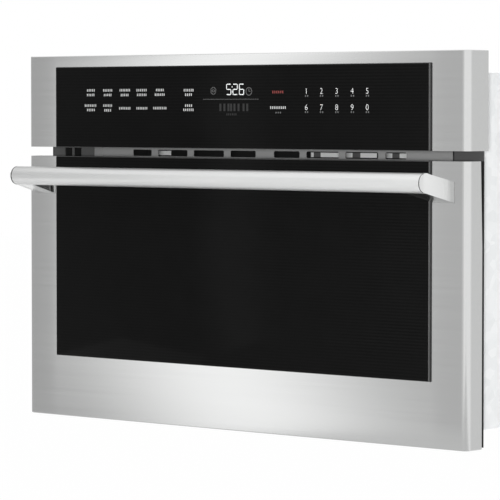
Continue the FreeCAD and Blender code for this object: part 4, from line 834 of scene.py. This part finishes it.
def panel_marks():
    bright, pale, dim, faint, red, clock = (bmesh.new() for _ in range(6))
    for x, z, width in KEY_LINES:
        letter_row(pale, x, z, width, LETTER_HEIGHT)
    for z, digits in NUMBER_ROWS:
        for x, digit in zip(NUMBER_COLUMNS, digits):
            number(bright, digit, x, z, NUMBER_HEIGHT)
            letter_row(dim, x + SUB_SHIFT, z - SUB_DROP, SUB_WIDTH, SUB_HEIGHT)
    letter_row(dim, *START_LINE)
    ring(dim, *TIMER_RING)
    for hand in TIMER_HANDS:
        mark(dim, *hand)
    for z, rise in ARROW_ROWS:
        chevron(dim, ARROW_X, z, ARROW_HALF, rise, MARK_STROKE)
    for stem in ARROW_STEMS:
        mark(dim, *stem)
    mark(dim, *DIVIDER)
    for x in RESTING_COLUMNS:
        mark(faint, x, *RESTING_BAR)
    letter_row(faint, *RESTING_LINE)
    letter_row(red, *STOP_LINE)
    for digit, x in zip(CLOCK_TIME, CLOCK_COLUMNS):
        segment_digit(clock, digit, x, CLOCK_MIDDLE)
    for rise in (COLON_RISE, -COLON_RISE):
        mark(clock, COLON_X, CLOCK_MIDDLE + rise, *COLON_DOT)
    for name, bm, slot, coat in (
        ("number_marks", bright, "pale_plastic", BRIGHT_INK),
        ("key_marks", pale, "pale_plastic", PALE_INK),
        ("fine_marks", dim, "pale_plastic", DIM_INK),
        ("resting_marks", faint, "display_black", FAINT_INK),
        ("stop_mark", red, "display_black", RED_INK),
        ("clock_digits", clock, "display_black", CLOCK_LIGHT),
    ):
        bmesh.ops.recalc_face_normals(bm, faces=bm.faces)
        show(name, bm, slot, "housing", coats=[coat])


door_steel()
panel_steel()
pane("door_pane", PANE_LOW, PANE_HIGH, "door", "door_glass")
pane("panel_pane", PANEL_LOW, PANEL_HIGH, "housing", "control_glass")
handle_tube()
handle_ends()
handle_feet()
duct_light_and_shade()
latch_shrouds()
flange_shade_lines()
panel_marks()


# Studio: levels of the world and the floor
WORLD_LIGHT = 0.42
WORLD_SEEN = 1.0
FLOOR_Z = -1.4
FLOOR_SIZE = (60, 60)
FLOOR_GREY = 0.86
FLOOR_ROUGHNESS = 0.9
FLOOR_GLOW = 1.06
FLOOR_GLOW_SHARE = 0.9

# Middle height of the upright cards, and the light of each card as stops along its own X
CARD_Z = 0.2
FRONT_STOPS = (
    (0.0, 0.465), (0.307, 0.465), (0.431, 1.37), (0.554, 0.55), (0.632, 0.56), (0.789, 0.66),
    (1.0, 0.79),
)
LEFT_STOPS = ((0.0, 0.5), (1.0, 0.5))
FLOOR_STOPS = ((0.0, 0.65), (1.0, 0.65))
SIDE_STOPS = ((0.0, 0.95), (0.5, 0.79), (0.66, 0.75), (1.0, 0.75))

# Camera, as fitted to the photograph's edges
LENS = 227.7
SENSOR = 36
CAMERA_PLACE = (2.724, -3.067, 0.394)
CAMERA_TARGET = (0.0267, -0.042, 0.2148)
LAMP_TARGET = (0, 0, 0.2)


def backdrop_ray(tree):
    """1 for rays that show the backdrop itself: seen, mirrored or through glass."""
    path = tree.nodes.new("ShaderNodeLightPath")
    seen = maths(tree, "MAXIMUM", path.outputs["Is Camera Ray"], path.outputs["Is Glossy Ray"])
    return maths(tree, "MAXIMUM", seen, path.outputs["Is Transmission Ray"])


def studio_world():
    world = bpy.data.worlds.new("studio")
    bpy.context.scene.world = world
    world.use_nodes = True
    tree = world.node_tree
    air = tree.nodes["Background"]
    air.inputs["Color"].default_value = (1.0, 1.0, 1.0, 1.0)
    strength = tree.nodes.new("ShaderNodeMapRange")
    strength.inputs["To Min"].default_value = WORLD_LIGHT
    strength.inputs["To Max"].default_value = WORLD_SEEN
    tree.links.new(backdrop_ray(tree), strength.inputs["Value"])
    tree.links.new(strength.outputs["Result"], air.inputs["Strength"])


def stage_plane(name, size, place):
    mesh = bpy.data.meshes.new(name)
    bm = bmesh.new()
    stretch = Matrix.Diagonal((*size, 1.0, 1.0))
    bmesh.ops.create_grid(bm, x_segments=1, y_segments=1, size=0.5, matrix=stretch)
    bm.to_mesh(mesh)
    bm.free()
    obj = bpy.data.objects.new(name, mesh)
    obj.matrix_world = place
    bpy.context.scene.collection.objects.link(obj)
    return obj


def pale_floor():
    floor = stage_plane("floor", FLOOR_SIZE, Matrix.Translation((0, 0, FLOOR_Z)))
    mat, tree = new_material("pale_floor")
    shader = tree.nodes["Principled BSDF"]
    shader.inputs["Base Color"].default_value = (FLOOR_GREY, FLOOR_GREY, FLOOR_GREY, 1.0)
    shader.inputs["Roughness"].default_value = FLOOR_ROUGHNESS
    glow = tree.nodes.new("ShaderNodeEmission")
    glow.inputs["Strength"].default_value = FLOOR_GLOW
    mix = tree.nodes.new("ShaderNodeMixShader")
    share = maths(tree, "MULTIPLY", backdrop_ray(tree), FLOOR_GLOW_SHARE)
    tree.links.new(share, mix.inputs["Fac"])
    tree.links.new(shader.outputs["BSDF"], mix.inputs[1])
    tree.links.new(glow.outputs["Emission"], mix.inputs[2])
    tree.links.new(mix.outputs["Shader"], tree.nodes["Material Output"].inputs["Surface"])
    floor.data.materials.append(mat)


def soft_card(name, size, place, stops):
    """A card that only metal and glass mirror, with its light eased between the stops."""
    card = stage_plane(name, size, place)
    card.visible_camera = False
    card.visible_diffuse = False
    card.visible_shadow = False
    mat, tree = new_material(name)
    tree.nodes.remove(tree.nodes["Principled BSDF"])
    where = tree.nodes.new("ShaderNodeTexCoord")
    split = tree.nodes.new("ShaderNodeSeparateXYZ")
    tree.links.new(where.outputs["Object"], split.inputs["Vector"])
    along = tree.nodes.new("ShaderNodeMapRange")
    along.inputs["From Min"].default_value = -size[0] / 2
    along.inputs["From Max"].default_value = size[0] / 2
    tree.links.new(split.outputs["X"], along.inputs["Value"])
    ramp = tree.nodes.new("ShaderNodeValToRGB")
    ramp.color_ramp.interpolation = "EASE"
    for i, (at, level) in enumerate(stops):
        stop = ramp.color_ramp.elements[i] if i < 2 else ramp.color_ramp.elements.new(at)
        stop.position = at
        stop.color = (level, level, level, 1.0)
    tree.links.new(along.outputs["Result"], ramp.inputs["Fac"])
    glow = tree.nodes.new("ShaderNodeEmission")
    tree.links.new(ramp.outputs["Color"], glow.inputs["Color"])
    tree.links.new(glow.outputs["Emission"], tree.nodes["Material Output"].inputs["Surface"])
    card.data.materials.append(mat)


def upright(x, y, turn):
    """Place of an upright card that looks along +Y before its turn about Z, in degrees."""
    stand = Matrix.Rotation(math.radians(turn), 4, "Z") @ Matrix.Rotation(-QUARTER_TURN, 4, "X")
    return Matrix.Translation((x, y, CARD_Z)) @ stand


def cards():
    soft_card("front_card", (5.7, 5.0), upright(-2.35, -3.04, 0), FRONT_STOPS)
    soft_card("left_card", (7.0, 5.0), upright(-5.2, 0.46, -90), LEFT_STOPS)
    soft_card("floor_card", (5.0, 3.5), Matrix.Translation((0.5, -1.45, -0.8)), FLOOR_STOPS)
    soft_card("side_card", (3.6, 4.0), upright(3.2, 2.2, 128), SIDE_STOPS)


def aim(obj, place, target):
    """Put a lamp or a camera in the scene, looking at a point."""
    obj.location = place
    towards = Vector(target) - obj.location
    obj.rotation_euler = towards.to_track_quat("-Z", "Y").to_euler()
    bpy.context.scene.collection.objects.link(obj)


def lamp(name, place, energy, size):
    """A soft lamp aimed at the front that metal and glass don't mirror."""
    light = bpy.data.lights.new(name, "AREA")
    light.energy = energy
    light.size = size
    obj = bpy.data.objects.new(name, light)
    obj.visible_glossy = False
    aim(obj, place, LAMP_TARGET)


def camera():
    lens = bpy.data.cameras.new("camera")
    lens.lens = LENS
    lens.sensor_width = SENSOR
    obj = bpy.data.objects.new("camera", lens)
    aim(obj, CAMERA_PLACE, CAMERA_TARGET)
    bpy.context.scene.camera = obj


studio_world()
pale_floor()
cards()
lamp("key", (1.2, -2.6, 2.4), energy=20, size=1.8)
lamp("fill", (2.62, -3.1, 0.37), energy=140, size=0.4)
camera()
bpy.context.scene.view_settings.view_transform = "Standard"
